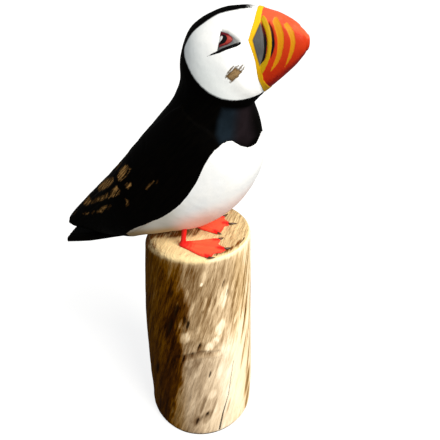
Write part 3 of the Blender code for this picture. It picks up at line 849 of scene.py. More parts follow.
def buildBill():
    columns, rows = bill["columns"], bill["rows"]
    turn = fullTurn(columns)
    start = billLineAt(turn, 0)
    share = np.linspace(0, 1, rows)[:, None]
    at = start[None] + (20 - start[None]) * share
    points = carvedPoints(at, turn[None])
    normals = outwardNormals(points)
    x, y, z = np.moveaxis(points, -1, 0)
    band = insideOf(bill["rootBand"], x, z)
    plate = insideOf(softOutline(bill["plate"], (0, 1, 2)), x, z)
    shadowArc, frontShadowArc = (softOutline(bill[key], ends) for key, ends in (("shadowArc", (0, 5)), ("frontShadowArc", (0, 4))))
    grooveShadow = np.maximum(insideOf(shadowArc, x, z), insideOf(frontShadowArc, x, z))
    ridge = insideOf(softOutline(bill["ridge"], (7, 14)), x, z)
    crescent = np.maximum(*[insideOf(softOutline(line, (tip,)), x, z) for line, tip in bill["crescents"]])
    relief = bill["ridgeRise"] * eased(np.maximum(band, ridge), -0.35, 0.6)
    relief += bill["plateRise"] * eased(plate, -0.3, 0.7)
    relief -= bill["grooveDepth"] * eased(grooveShadow, -0.5, 0.4)
    relief -= 0.22 * eased(crescent, -0.4, 0.7)
    ridgeStep = eased(np.cos(turn)[None], 0.86, 0.97) * eased(x, 50, 58) * faded(x, 69.6, 71)
    relief += 0.22 * ripple(points, 6, 21) + 0.45 * ridgeStep
    points = points + normals * relief[..., None] * eased(20 - at, 0, 0.5)[..., None]
    values = {
        "yellowPaint": np.maximum(band, ridge),
        "bandOnly": band,
        "plate": plate,
        "shadowArc": grooveShadow,
        "crescent": crescent,
        "upward": np.broadcast_to(np.cos(turn)[None], x.shape),
        "forward": x,
        "lowEdge": z,
    }
    back = np.array([-1, 0, 0])
    root = points[0]
    centre = root.mean(0)
    inner = np.array([centre + (root - centre) * s + back * d
                      for s, d in ((0.3, 1.2), (0.7, 1.2), (0.93, 1), (0.985, 0.6))])
    steps = 8
    points = closedIn(np.concatenate([inner, points]), steps, False, 0.36)
    return tubePiece("painted_bill", placeInWorld(points), withEnds(values, len(inner), steps))


billPaint = coloursOf({
    "orange": (194, 54, 19),
    # coral is the painted highlight along the top of the bill
    "coral": (230, 90, 54),
    # lowOrange is painted shade towards the lower side, also laid on at random
    "lowOrange": (186, 42, 8),
    # painted shade at the lower edge
    "underSideShade": (134, 8, 2),
    "yellow": (232, 186, 16),
    # yellowDark is the painted shade on the lower side of the yellow
    "yellowDark": (190, 146, 6),
    "ridge": (182, 144, 8),
    "amber": (206, 134, 12),
    "amberDark": (196, 132, 10),
    "plate": (90, 91, 91),
    "plateDark": (76, 77, 78),
    # painted shadow in the carved grooves, near black low down and dark red higher up
    "grooveShadow": (10, 10, 18),
    "grooveShadowRed": (84, 14, 4),
    "olive": (120, 92, 14),
})


def paintBill():
    material, tree = newMaterial("paintedBill")
    strokes = strokesAt(tree, (0, 25, 0), 900, 120, 4)
    mottle = mottleAt(tree, 120, 7)
    up = fieldOf(tree, "upward")
    # painted highlight along the top of the bill, painted shade growing towards its lower edge, then a random orange
    # tone
    upRough = timesPlus(tree, evenOut(tree, strokes["Tone"]), 0.14, up)
    colour = blendOf(tree, spreadOf(tree, upRough, 0.62, 0.9), billPaint["orange"], billPaint["coral"])
    colour = blendOf(tree, spreadOf(tree, upRough, 0.15, -0.75), colour, billPaint["lowOrange"])
    colour = blendOf(tree, spreadOf(tree, upRough, -0.6, -0.86), colour, billPaint["underSideShade"])
    colour = blendOf(tree, spreadOf(tree, mottle["Tone"], 0.5, 1, 0, 0.3), colour, billPaint["lowOrange"])
    crescent = edgeOf(tree, "crescent", strokes["Tone"], 0.35, 0.7)
    amber = blendOf(tree, mottle["Tone"], billPaint["amber"], billPaint["amberDark"])
    colour = blendOf(tree, crescent, colour, amber)
    # painted shadow in the carved grooves beside the ridge
    grooveShadow = edgeOf(tree, "shadowArc", strokes["Tone"], 0.3, 0.7)
    grooveShadowColour = blendOf(tree, spreadOf(tree, "lowEdge", 162, 170), billPaint["grooveShadow"],
                         billPaint["grooveShadowRed"])
    colour = blendOf(tree, grooveShadow, colour, grooveShadowColour)
    # the yellow is painted lighter on top and darker below, as painted light and shade
    yellowTone = spreadOf(tree, timesPlus(tree, mottle["Tone"], 0.35, up), -0.3, 1.1)
    yellow = blendOf(tree, yellowTone, billPaint["yellowDark"], billPaint["yellow"])
    ridgeTone = spreadOf(tree, "bandOnly", -0.6, 0.6)
    yellow = blendOf(tree, ridgeTone, billPaint["ridge"], yellow)
    band = edgeOf(tree, "yellowPaint", strokes["Tone"], 0.4, 0.5)
    colour = blendOf(tree, band, colour, yellow)
    shadow = spreadOf(tree, "plate", -0.75, -0.1, 0, 0.75)  # the dark line round the plate
    shadow = times(tree, shadow, restOf(tree, times(tree, grooveShadow, 0.9)))
    colour = blendOf(tree, shadow, colour, billPaint["olive"])
    plate = edgeOf(tree, "plate", strokes["Tone"], 0.2, 0.4)
    plateColour = blendOf(tree, mottle["Tone"], billPaint["plateDark"], billPaint["plate"])
    colour = blendOf(tree, plate, colour, plateColour)
    height = timesPlus(tree, strokes["Fine"], 0.5, mottle["Height"])
    return finishLook(material, colour, roughOf(tree, mottle["Tone"], 0.38, 0.52), 0.1, height, 0.0002)


settle(buildBill(), "bill_orange", paintBill(), "bill_root", "bill", "bill_plate_left", "bill_plate_right")
print("bill carved")


# The eyes

eye = {
    "corners": [(24.4, 166.9), (29, 165.9), (33.1, 163.7), (36.4, 160.3), (35.4, 159.4), (30.3, 157.9),
                (23.7, 155.6), (23.9, 158.5), (24.2, 161.6)],
    "centre": (28.2, 161.6),
    "rings": 46,
    "columns": 176,
    "rise": 0.55,
    "iris": [(24.6, 166.4), (27.4, 166.3), (30, 165.3), (32.6, 163), (30.9, 160.6), (28, 159.4), (24.6, 158.2),
             (24.2, 161.5)],
    "irisLight": [(28.4, 164.6), (30.4, 164.3), (32, 162.8), (30.6, 161.2), (28.4, 160.4), (25.2, 159),
                  (26.4, 160.6), (28.8, 162.4)],
    "pupil": [(25.5, 165.1), (27.4, 164.9), (28.9, 163.9), (29, 162.6), (28.3, 161.2), (26.8, 160.2), (24.8, 159.7),
              (25, 161), (26.2, 162.5), (26.5, 163.7)],
    "glint": [(25, 164.2), (26.2, 164), (26.2, 162.9), (25.2, 161.5), (24.2, 160.5), (23.6, 161.5), (24.1, 163)],
}


def buildEye(name, side):
    centre = np.array(eye["centre"])
    shares = np.sin(np.linspace(0.02, 1, eye["rings"]) * math.pi / 2)
    flat = centre + (evenly(np.array(eye["corners"]), eye["columns"]) - centre) * shares[:, None, None]
    points, normals = (np.zeros((*flat.shape[:2], 3)) for _ in range(2))
    for i, j in np.ndindex(*flat.shape[:2]):
        x, z = flat[i, j]
        start = Vector((x * mm, side * 60 * mm, z * mm + logTop))
        points[i, j], normals[i, j] = bodyTree.ray_cast(start, Vector((0, -side, 0)))[:2]
    for _ in range(3):  # the facets' normals are smoothed
        normals = (np.roll(normals, 1, 1) + np.roll(normals, -1, 1) + 2 * normals) / 4
    normals /= np.linalg.norm(normals, axis=-1, keepdims=True)
    x, z = flat[..., 0], flat[..., 1]
    edge = insideOf(eye["corners"], x, z)
    iris, irisLight, pupil, glint = (insideOf(softOutline(eye[key], sharp), x, z) for key, sharp in
                                     (("iris", (0, 6)), ("irisLight", (5,)), ("pupil", (0, 6)), ("glint", (4,))))
    lash = alongStroke(carving["lash"], x, z)
    height = eye["rise"] * eased(edge, -0.3, 1.6) + 0.4 * eased(iris, 0, 3) + 0.12 * eased(lash, -0.3, 0.3) + 0.05
    top = points + normals * height[..., None] * mm
    foot = points[-1] - normals[-1] * 0.9 * mm
    under = [foot + (foot.mean(0) - foot) * s for s in (0.02, 0.3, 0.7)]
    rings = np.concatenate([top, under])
    values = {"iris": iris, "irisLight": irisLight, "pupil": pupil, "glint": glint, "lash": lash}
    return tubePiece(name, rings, withEnds(values, 0, len(under)))


eyePaint = coloursOf({
    "surround": (98, 99, 99),
    "surroundDark": (88, 88, 90),
    "iris": (150, 50, 42),
    "irisDark": (82, 10, 20),
    "pupil": (3, 2, 3),
    "glint": (214, 216, 216),
    "lash": (3, 2, 3),
})


def paintEye():
    material, tree = newMaterial("paintedEye")
    strokes = strokesAt(tree, carving["strokeTurn"], 1500, 300, 6)
    mottle = mottleAt(tree, 300, 9)
    grey = blendOf(tree, mottle["Tone"], eyePaint["surround"], eyePaint["surroundDark"])
    iris = edgeOf(tree, "iris", strokes["Tone"], 0.35, 0.25)
    light = edgeOf(tree, "irisLight", strokes["Tone"], 0.7, 0.8)
    irisColour = blendOf(tree, light, eyePaint["irisDark"], eyePaint["iris"])
    colour = blendOf(tree, iris, grey, irisColour)
    for key, ragged, soft in (("pupil", 0.3, 0.4), ("glint", 0.2, 0.4), ("lash", 0.2, 0.25)):
        colour = blendOf(tree, edgeOf(tree, key, strokes["Tone"], ragged, soft), colour, eyePaint[key])
    return finishLook(material, colour, roughOf(tree, mottle["Tone"], 0.3, 0.42), 0.15, mottle["Height"], 0.0001, 0.4)


eyeMaterial = paintEye()
for sideName, side in (("right", -1), ("left", 1)):
    settle(buildEye("painted_eye_" + sideName, side), "slate_grey", eyeMaterial, "eye_" + sideName)
print("eyes set")


# The tail board

tail = {
    "stations": [(-52, -3.2, 13.5), (-70, -9.9, 13.5), (-94, -19, 13), (-114.6, -24.8, 12.2)],  # x, z, half width
    "thickness": 7,
    "rows": 130,
    "columns": 120,
    "feathers": 5,
}


def buildTail():
    rows, columns = tail["rows"], tail["columns"]
    share = np.linspace(0, 1, rows)
    x, z, halfWidth = np.moveaxis(throughRows(tail["stations"], share * 3), -1, 0)
    thick = tail["thickness"] / 2 * (1.25 - 0.5 * share)
    turn = fullTurn(columns)
    side, lift = rounded(np.cos(turn), 0.45), rounded(np.sin(turn), 0.7)
    y = side[None] * halfWidth[:, None]
    height = z[:, None] + lift[None] * thick[:, None]
    feather = np.abs(((y / halfWidth[:, None] + 1) / 2 * tail["feathers"]) % 1 - 0.5) * 2
    groove = 0.35 * eased(feather, 0.7, 1) * eased(np.abs(lift[None]), 0.5, 0.95) * eased(share[:, None], 0.1, 0.5)
    height = height - np.sign(lift[None]) * groove
    fan = 1.2 * (1 - feather) * eased(share[:, None], 0.9, 1)
    points = np.stack([x[:, None] - fan * 0.5 + 0 * y, y, height], -1)
    points += 0.3 * ripple(points, 7, 31)[..., None] * np.array([0, 0, 1])
    points = closedIn(closedIn(points, 4, True, 0.1), 6, False, 0.12)
    return tubePiece("tail_board", placeInWorld(points))


def paintTail():
    material, tree = newMaterial("blackTail")
    strokes = strokesAt(tree, (0, 70, 0), 700, 50, 8)
    mottle = mottleAt(tree, 60, 11)
    colour = blendOf(tree, strokes["Tone"], bodyPaint["black"], bodyPaint["blackWarm"])
    height = timesPlus(tree, strokes["Fine"], 0.5, mottle["Height"])
    return finishLook(material, colour, roughOf(tree, strokes["Fine"], 0.55, 0.7), 0.01, height, 0.0002)


settle(buildTail(), "black_paint", paintTail(), "tail")
print("tail carved")


# Legs, feet and claws

feet = {
    "heels": {"right": (-4.4, -23.2), "left": (-8, 13)},
    "outlines": {  # forward and sideways from the heel
        "right": [(-2.6, 0.4), (-1.4, -2), (4.7, -4.2), (8.8, -6), (16.3, -9.2), (22.4, -10.4), (25.5, -10.9),
                  (26.4, -8.8), (27.1, -4.2), (31.6, -1.8), (34.3, 2.2), (34.3, 4.8), (29.4, 7), (26.9, 8.8),
                  (27.2, 13.6), (26.4, 15.3), (22.4, 15), (17, 12), (9.3, 8), (1.4, 4.4), (-1.6, 2.7)],
        "left": [(-2.6, -0.4), (-1.4, -3.2), (3.5, -7.8), (11.2, -11.8), (18.9, -13.4), (25.3, -14.5), (27.3, -14.2),
                 (28.5, -8.5), (29.3, -2.4), (31.9, -0.4), (31.6, 3.8), (28.4, 6), (26, 8.2), (25.8, 10.8),
                 (24.4, 11.8), (16, 9.8), (8, 7), (1, 4), (-1.6, 2.3)],
    },
    "toes": {  # tip forward and sideways from the heel, then the claw's direction in degrees and its length
        "right": {"inner": (26.4, 14.8, 48, 4.6), "middle": (34, 3.6, 34, 6.2), "outer": (25.3, -10.5, 18, 4.6)},
        "left": {"inner": (27, -14, -8, 3), "middle": (31.8, 1.6, 26, 7.4), "outer": (24.9, 11.2, 64, 6)},
    },
    "middle": (12, 0.5),
    "rings": 64,
    "columns": 420,
    "toeWidth": 1.9,
    "gap": 0.35,  # above the log
    "webThickness": 1.15,
    "toeRise": 0.6,
    "legRadius": 2,
    "legLean": 2.3,
    "legLength": 19,
}


def buildFoot(name):
    heelX, heelY = feet["heels"][name]
    outline = softOutline(feet["outlines"][name], (), 8)
    x, y = evenly(outline, feet["columns"]).T
    middleX, middleY = feet["middle"]
    shares = np.linspace(0.01, 1, feet["rings"]) ** 0.8
    px = middleX + (x - middleX) * shares[:, None]
    py = middleY + (y - middleY) * shares[:, None]
    edge = insideOf(outline, px, py)
    away = np.hypot(px, py)
    top = np.full(px.shape, feet["webThickness"])
    red = np.maximum(0.95 * hump(away, 9), 0.55 * faded(edge, 0.3, 2.2))
    for tipX, tipY, _, _ in feet["toes"][name].values():
        length = math.hypot(tipX, tipY)
        along = (px * tipX + py * tipY) / length
        across = (py * tipX - px * tipY) / length
        width = feet["toeWidth"] * (1.05 - 0.3 * np.clip(along / length, 0, 1))
        joints = 1 + 0.14 * np.cos(along / length * 6 * math.pi)
        ridge = feet["toeRise"] * joints * hump(across, width) * eased(along, -3, 2)
        top = np.maximum(top, feet["webThickness"] + ridge * (1 - 0.35 * np.clip(along / length, 0, 1)))
        red = np.maximum(red, 0.95 * eased(along / length, 0.66, 0.93) * hump(across, 2.7))
    top = top + 1.5 * hump(away, 3.6) + 0.5 * hump(away, 9)
    top = top + 0.16 * ripple(np.stack([px, py, 0 * px], -1), 2.2, 41)
    top = top * (0.35 + 0.65 * (1 - shares[:, None] ** 14) ** 0.5)
    rings = [np.stack([px, py, top], -1)]
    for share, height in ((1, 0.12), (0.985, 0), (0.6, 0), (0.1, 0)):
        lower = np.stack([middleX + (x - middleX) * share, middleY + (y - middleY) * share, 0 * x + height], -1)
        rings.append(lower[None])
    points = np.concatenate(rings) + np.array([heelX, heelY, feet["gap"]])
    redness = withEnds({"redness": red}, 0, len(rings) - 1)["redness"]
    return tubePiece("webbed_foot_" + name, placeInWorld(points[::-1]), {"redness": redness[::-1]})


def buildLeg(name):
    heelX, heelY = feet["heels"][name]
    rows, columns = 60, 48
    share = np.linspace(0, 1, rows)
    rings = 0.02 * np.cos(share * 2 * math.pi * 9)
    radius = feet["legRadius"] * (1.04 + 0.14 * hump(share, 0.12) - 0.14 * share + rings)
    turn = fullTurn(columns)
    lift = feet["gap"] + 1.6 + share * feet["legLength"]
    x = heelX + 0.4 + radius[:, None] * np.cos(turn) + feet["legLean"] * share[:, None]
    y = heelY + radius[:, None] * np.sin(turn)
    points = np.stack([x, y, lift[:, None] + 0 * x], -1)
    return tubePiece("leg_rod_" + name, placeInWorld(points), {"redness": np.full(points.shape[:2], 0.95)})


def buildClaw(name, toe):
    heelX, heelY = feet["heels"][name]
    tipX, tipY, degrees, length = feet["toes"][name][toe]
    rows, columns = 30, 20
    share = np.linspace(0, 1, rows)
    turn = fullTurn(columns)
    direction = np.radians(degrees - 26 + 50 * share)  # the claw bends as it goes
    step = (length + 1.2) / rows
    middleX = heelX + tipX - 1.2 * math.cos(direction[0]) + np.cumsum(np.cos(direction)) * step
    middleY = heelY + tipY - 1.2 * math.sin(direction[0]) + np.cumsum(np.sin(direction)) * step
    radius = 0.94 * (1 - share**1.8) + 0.1
    lift = feet["gap"] + 0.45 + 0.45 * np.sin(share * math.pi) - 0.2 * share
    across = radius[:, None] * np.cos(turn)
    height = np.maximum(lift[:, None] + radius[:, None] * np.sin(turn), feet["gap"] * 0.5)
    x = middleX[:, None] - across * np.sin(direction)[:, None]
    y = middleY[:, None] + across * np.cos(direction)[:, None]
    return tubePiece(f"curved_claw_{name}_{toe}", placeInWorld(np.stack([x, y, height], -1)))


footPaint = coloursOf({
    "coral": (244, 92, 60),
    "red": (222, 28, 26),
    "claw": (92, 56, 22),
    "clawDark": (38, 20, 5),
})


def paintFoot():
    material, tree = newMaterial("paintedFoot")
    strokes = strokesAt(tree, (90, 0, 60), 800, 140, 12)
    mottle = mottleAt(tree, 150, 13)
    redness = timesPlus(tree, evenOut(tree, strokes["Tone"]), 0.35, "redness")
    colour = blendOf(tree, spreadOf(tree, redness, 0.1, 0.9), footPaint["coral"], footPaint["red"])
    height = timesPlus(tree, strokes["Fine"], 0.5, mottle["Height"])
    return finishLook(material, colour, roughOf(tree, mottle["Tone"], 0.42, 0.58), 0.2, height, 0.00018)


def paintClaw():
    material, tree = newMaterial("paintedClaw")
    mottle = mottleAt(tree, 400, 15)
    colour = blendOf(tree, mottle["Tone"], footPaint["clawDark"], footPaint["claw"])
    return finishLook(material, colour, roughOf(tree, mottle["Tone"], 0.35, 0.5), 0.5, mottle["Height"], 0.0001, 0.4)


footMaterial, clawMaterial = paintFoot(), paintClaw()
for sideName in feet["heels"]:
    settle(buildFoot(sideName), "foot_red", footMaterial, "foot_" + sideName)
    settle(buildLeg(sideName), "foot_red", footMaterial, "leg_" + sideName)
    for toe in feet["toes"][sideName]:
        settle(buildClaw(sideName, toe), "claw_black", clawMaterial, f"claw_{sideName}_{toe}")
print("feet set")


# The peeled log

log = {
    "height": 208,
    "footRadius": 49,
    "topRadius": 43.5,
    "swell": 1.2,
    "bulges": [  # angle, height, half angle, half height, and how far the wood stands out
        (202, 105, 40, 55, 1.1), (222, 14, 42, 22, -1.7), (8, 42, 42, 32, 1.4), (12, 135, 40, 35, -0.7),
    ],
    "lean": 4,
    "footShift": 1.4,  # the foot stands this far forward
    "bevel": 4,
    "wornSide": (190, 42),  # the angle at which the top edge is rounded most, and how far round it reaches
    "wornDepth": 4.4,
    "rimSide": (200, 40),  # where the colour of the top comes down over the edge
    "footRound": 7,
    "columns": 420,
    "sideRows": 300,
    "topRings": 70,
    "twist": 14,  # degrees from upright at which the grain leans
    "grainRadius": 46,
    "toneAngles": [-125, -100, -84, -72, -60, -48, -36, -24, -8, 20, 60, 95, 130, 160],
    "tones": [  # height, then how pale the bare wood is at each angle
        (0, 0.22, 0.32, 0.46, 0.54, 0.67, 0.80, 0.90, 0.95, 0.90, 0.95, 0.75, 0.50, 0.35, 0.30),
        (20, 0.24, 0.36, 0.52, 0.58, 0.71, 0.84, 0.94, 0.97, 0.92, 0.95, 0.80, 0.50, 0.35, 0.30),
        (50, 0.24, 0.40, 0.58, 0.62, 0.74, 0.88, 0.98, 1.00, 0.95, 0.95, 0.85, 0.55, 0.35, 0.30),
        (80, 0.24, 0.40, 0.54, 0.61, 0.74, 0.90, 1.00, 1.00, 0.95, 0.90, 0.80, 0.60, 0.40, 0.30),
        (105, 0.22, 0.34, 0.45, 0.60, 0.74, 0.84, 1.00, 1.00, 0.92, 0.95, 0.85, 0.50, 0.40, 0.30),
        (125, 0.22, 0.33, 0.42, 0.51, 0.60, 0.68, 0.82, 0.98, 0.90, 0.95, 0.80, 0.45, 0.35, 0.30),
        (145, 0.20, 0.29, 0.36, 0.46, 0.60, 0.70, 0.60, 0.80, 0.90, 0.90, 0.75, 0.50, 0.30, 0.25),
        (165, 0.18, 0.24, 0.34, 0.45, 0.59, 0.66, 0.58, 0.68, 0.88, 0.92, 0.80, 0.55, 0.30, 0.25),
        (185, 0.16, 0.24, 0.37, 0.43, 0.60, 0.60, 0.62, 0.66, 0.88, 0.95, 0.85, 0.60, 0.35, 0.28),
        (208, 0.18, 0.24, 0.36, 0.46, 0.56, 0.60, 0.64, 0.70, 0.92, 0.95, 0.85, 0.60, 0.38, 0.28),
    ],
    "filmEdge": [  # height, and the angle beyond which the dark inner bark is left on
        (0, -115), (14, -111), (27, -108.5), (46, -104), (61, -98.5), (75, -95), (89, -92), (101, -89.5), (111, -91),
        (119, -94), (130, -96.5), (139, -96), (149, -90.5), (157, -87), (166, -87), (176, -88), (184, -93),
        (190, -101),
        (198, -116), (204, -131), (208, -146),
    ],
    "filmBack": 150,
    "knots": [  # angle, height, half width, half height in mm, depth
        (-85, 141.5, 1, 4.4, 1.3), (-88, 146, 1.2, 3.4, 0.4), (-73, 119, 0.8, 3.2, 1.2), (-46, 182, 0.7, 2.2, 0.6),
        (-41, 172, 0.5, 1.5, 0.5), (-62, 84, 0.4, 1.6, 0.5), (-66, 31, 0.9, 2.6, 1.1), (-77, 23, 0.8, 3.2, 0.7),
        (-72, 27, 0.5, 2.6, 0.5), (-97, 155, 1, 6, 0.7), (-104, 137, 1.5, 8, 0.8), (-101, 172, 0.7, 3, 0.5),
        (-126, 75, 1.3, 6, 0.5), (-81, 109, 0.7, 2, 0.5), (60, 150, 2, 4.6, 1.1),
        (130, 95, 2.5, 5.5, 1.2), (170, 160, 1.8, 5, 1), (95, 45, 1.5, 4, 0.9),
    ],
    "crack": [(-33, 89), (-36, 72), (-40, 48), (-47, 27), (-52, 4)],  # angle and height
    "crease": [(-94, 103), (-87, 106), (-72, 110), (-54, 109)],
    "marks": [  # which marks, how ragged, where the tone begins, its strength and end, the relief and its end
        ("streaks", 0.9, -0.35, (-1, 0.5), (-0.25, 0.8)), ("patches", 0.8, -0.2, (1, 0.4), (0.15, 0.6)),
    ],
    "patches": [  # barer places: angle, height, half width, half height, how much barer
        (-31, 163, 2.2, 8, 0.2), (-34, 175, 1.8, 6, 0.14), (-67, 165, 1.8, 7, 0.2),
        (-69, 190, 2.6, 8, 0.2), (-70, 184, 1, 2, 0.5), (-45, 169, 3.6, 13, 0.26), (-50, 136, 4.6, 8, 0.3),
        (-52, 126, 3, 6, 0.24), (-89, 127, 5.5, 6.5, 0.2), (-82, 130, 5, 7, 0.14), (-64, 117, 3, 5.5, 0.24),
        (-57, 121, 3.6, 6.5, 0.3), (-74, 138, 3, 7, 0.16), (-92, 143, 1.2, 6, 0.26), (-86, 171, 1.6, 8, 0.2),
        (-80, 160, 1.8, 8, 0.2), (-31, 139, 2.2, 6, 0.2), (-84, 98, 4, 6, 0.12), (-76, 88, 5, 9, 0.1),
        (-96, 160, 1, 6, 0.24), (-66, 150, 2, 10, 0.1), (-60, 57, 5, 7, 0.12),
    ],
    "streaks": [  # browner streaks: angle, height, half width, half height, how much browner
        (-57, 164, 1.6, 7, 0.16), (-55, 153, 1.6, 7, 0.15), (-57, 118, 1.8, 7, 0.15),
        (-17, 153, 1.6, 22, 0.4), (-30, 169, 1.4, 16, 0.2), (-35, 156, 1.2, 10, 0.2), (-15, 127, 1.6, 22, 0.45),
        (-16, 91, 1.5, 20, 0.4), (-8, 45, 4.6, 16, 0.5), (-5, 20, 4, 14, 0.45), (-7, 155, 1.4, 30, 0.4),
        (-6, 190, 1.8, 20, 0.4), (-4, 76, 2, 26, 0.45), (-14, 180, 1.2, 22, 0.4), (1, 130, 1.2, 36, 0.35),
        (-30, 132, 3, 8, 0.14), (-70, 46, 1.6, 14, 0.24),
        (-58, 40, 1.2, 12, 0.22), (-52, 96, 1.4, 10, 0.16), (-66, 28, 3.6, 9, 0.26), (-78, 22, 3, 8, 0.22),
        (-40, 34, 1.2, 8, 0.16), (-72, 116, 4, 7, 0.2), (-62, 107, 6, 3, 0.14), (-66, 140, 1.5, 14, 0.16),
        (-58, 178, 1.4, 14, 0.18), (-64, 160, 1.4, 16, 0.15), (20, 120, 2, 30, 0.3), (48, 60, 2.4, 26, 0.3),
        (34, 180, 1.6, 18, 0.25), (70, 110, 3, 30, 0.25),
    ],
}


def buildLog():
    columns = log["columns"]
    turn = fullTurn(columns)
    height, inset = [], []
    footRound, bevel, tall = log["footRound"], log["bevel"], log["height"]
    for share in (0.1, 0.3, 0.5, 0.7, 0.85, 0.95):
        height.append(0.0)
        inset.append(log["footRadius"] * (1 - share))
    for angle in math.pi / 2 * np.arange(10) / 10:
        height.append(footRound * (1 - math.cos(angle)))
        inset.append(footRound * 0.75 * (1 - math.sin(angle)))
    height += list(np.linspace(footRound, tall - bevel, log["sideRows"]))
    inset += [0.0] * log["sideRows"]
    for k in range(1, 13):
        angle = math.pi / 2 * k / 12
        height.append(tall - bevel + bevel * math.sin(angle) * (0.75 + 0.25 * k / 12))
        inset.append(bevel * (1 - math.cos(angle)) ** 1.1)
    topShare = np.linspace(1, 0.015, log["topRings"])[1:]
    height, inset = np.array(height), np.array(inset)
    share = height / tall
    radius = log["footRadius"] + (log["topRadius"] - log["footRadius"]) * share
    radius = radius + log["swell"] * hump(share, 0.25, 0.6)
    share, around = share[:, None], np.degrees(turn)[None]
    wobble = 0.008 * np.sin(2 * turn + 0.8 + 1.6 * share) + 0.006 * np.sin(3 * turn - 0.5 + 2.5 * share)
    radius = radius[:, None] * (1 + wobble * (1 - 0.6 * share)) - inset[:, None]
    for angle, level, halfAngle, halfHeight, rise in log["bulges"]:
        away = wrapped(around - angle)
        radius = radius + rise * np.exp(-((away / halfAngle) ** 2) - ((height[:, None] - level) / halfHeight) ** 2)
    (wornSide, wornReach), (rimSide, rimReach) = log["wornSide"], log["rimSide"]
    worn = hump(around, wornReach, wornSide)
    radius = radius - log["wornDepth"] * worn * eased(height[:, None], tall - 16, tall) ** 1.5
    radius = np.concatenate([radius, radius[-1][None] * topShare[:, None]])
    height = np.concatenate([height, np.full(len(topShare), tall)])[:, None] + 0 * radius
    degrees = around + 0 * radius
    around = wrapped(degrees)
    onSide = eased(height, 0.5, 6) * faded(height, tall - 4, tall - 0.5)

    lean, spread = math.tan(math.radians(log["twist"])), log["grainRadius"]
    spun = turn[None] - height * lean / spread
    grain = np.stack([spread * np.cos(spun), spread * np.sin(spun), height], -1)

    def spotAt(angle, level, halfWidth, halfHeight):  # 1 at its middle, 0 at its edge, leaning with the grain
        up = height - level
        across = np.radians(wrapped(degrees - angle)) * spread - up * lean
        return 1 - np.hypot(across / halfWidth, up / halfHeight)

    ridges, waves = ripple(grain, (3.4, 3.4, 55), 51, 3), ripple(grain, (14, 14, 70), 52, 2)
    blotch, fringe = ripple(grain, (6, 6, 24), 53, 3), ripple(grain, (2.2, 2.2, 20), 54, 3)
    tones = np.array(log["tones"])
    u = np.clip(np.interp(height, tones[:, 0], np.arange(len(tones))), 0, len(tones) - 1.001)
    angles = log["toneAngles"]
    v = np.clip(np.interp(wrapped(degrees + 13 * blotch), angles, np.arange(len(angles))), 0, len(angles) - 1.001)
    i, j = u.astype(int), v.astype(int)
    u, v = eased(u - i, 0, 1), eased(v - j, 0, 1)
    below, above = (tones[k, j + 1] * (1 - v) + tones[k, j + 2] * v for k in (i, i + 1))
    peeled = below * (1 - u) + above * u + 0.2 * blotch + 0.26 * fringe
    edge = np.array(log["filmEdge"], float)
    film = np.maximum(np.interp(height, edge[:, 0], edge[:, 1]) - around, around - log["filmBack"]) * 0.8
    film = film + 9 * blotch + 12 * fringe
    barkTone = 0.05 + 0.1 * eased(film, 5, 28) + 0.05 * eased(height, 135, 180) + 0.14 * ridges + 0.12 * fringe
    isBark = eased(film, -2.2, 2.2) * faded(height + 40 * fringe + 26 * blotch, 172, 204)
    peeled = np.maximum(peeled * (1 - isBark) + barkTone * isBark, 0.015)
    relief = 0.55 * ridges + 0.9 * waves + 0.5 * isBark - 0.2 * eased(peeled, 0.5, 0.9)
    knotField = np.full(radius.shape, -9.0)
    for angle, level, halfWidth, halfHeight, depth in log["knots"]:
        spot = spotAt(angle, level, halfWidth, halfHeight)
        relief = relief - depth * eased(spot, -0.2, 0.8)
        relief = relief + 0.3 * depth * eased(spot, -1.8, -0.4) * faded(spot, -0.4, 0.1)
        knotField = np.maximum(knotField, spot * halfWidth * min(1, depth))
        peeled = peeled - 0.12 * eased(spot, -1.6, 0)
    for key, ragged, low, tonePart, reliefPart in log["marks"]:
        for *place, tone in log[key]:
            spot = spotAt(*place) + ragged * fringe
            relief = relief + reliefPart[0] * eased(spot, -0.2, reliefPart[1])
            peeled = peeled + tonePart[0] * tone * eased(spot, low, tonePart[1])

    def lineField(line):  # distance in mm from a line of angles and heights
        best = np.full(radius.shape, 99.0)
        for (fromAngle, fromHeight), (angle, level) in zip(line, line[1:]):
            run = wrapped(angle - fromAngle) * 0.8
            away = besideLine(wrapped(degrees - fromAngle) * 0.8, height - fromHeight, run, level - fromHeight)[1]
            best = np.minimum(best, away)
        return best

    wander = 1.2 * ripple(grain, (9, 9, 14), 55, 2)
    crack = lineField(log["crack"]) + np.abs(wander) * 0.3
    crackFoot = faded(height, 16, 50)  # the crack gapes towards the foot
    relief = relief - 1.3 * faded(crack, 0.1, 0.9 + 0.7 * crackFoot)
    crease = lineField(log["crease"]) + wander * 3.4
    relief = relief - 0.5 * faded(crease, 0.3, 3.4) + 0.35 * faded(np.abs(crease - 4.5), 0, 3)
    peeled = peeled - 0.24 * faded(crease, 0.6, 4.6) * eased(fringe + 0.6 * blotch, -0.3, 0.25)
    peeled = peeled + 0.1 * eased(height, tall - 13, tall - 3) * (1 - isBark)

    centreX = log["footShift"] * (1 - height / tall) ** 1.5
    centreY = log["lean"] * height / tall
    radius = radius + relief * onSide
    x, y = radius * np.cos(turn), radius * np.sin(turn)
    sawn = ripple(np.stack([x * 0.8 - y * 0.6, (x * 0.6 + y * 0.8) * 0.08, 0 * x], -1), 2.4, 56, 3)
    isTop = eased(height, tall - 0.6, tall - 0.05)
    lift = isTop * (0.5 * sawn - 0.12)
    fromMiddle, aroundTop = np.hypot(x, y), np.degrees(np.arctan2(y, x))
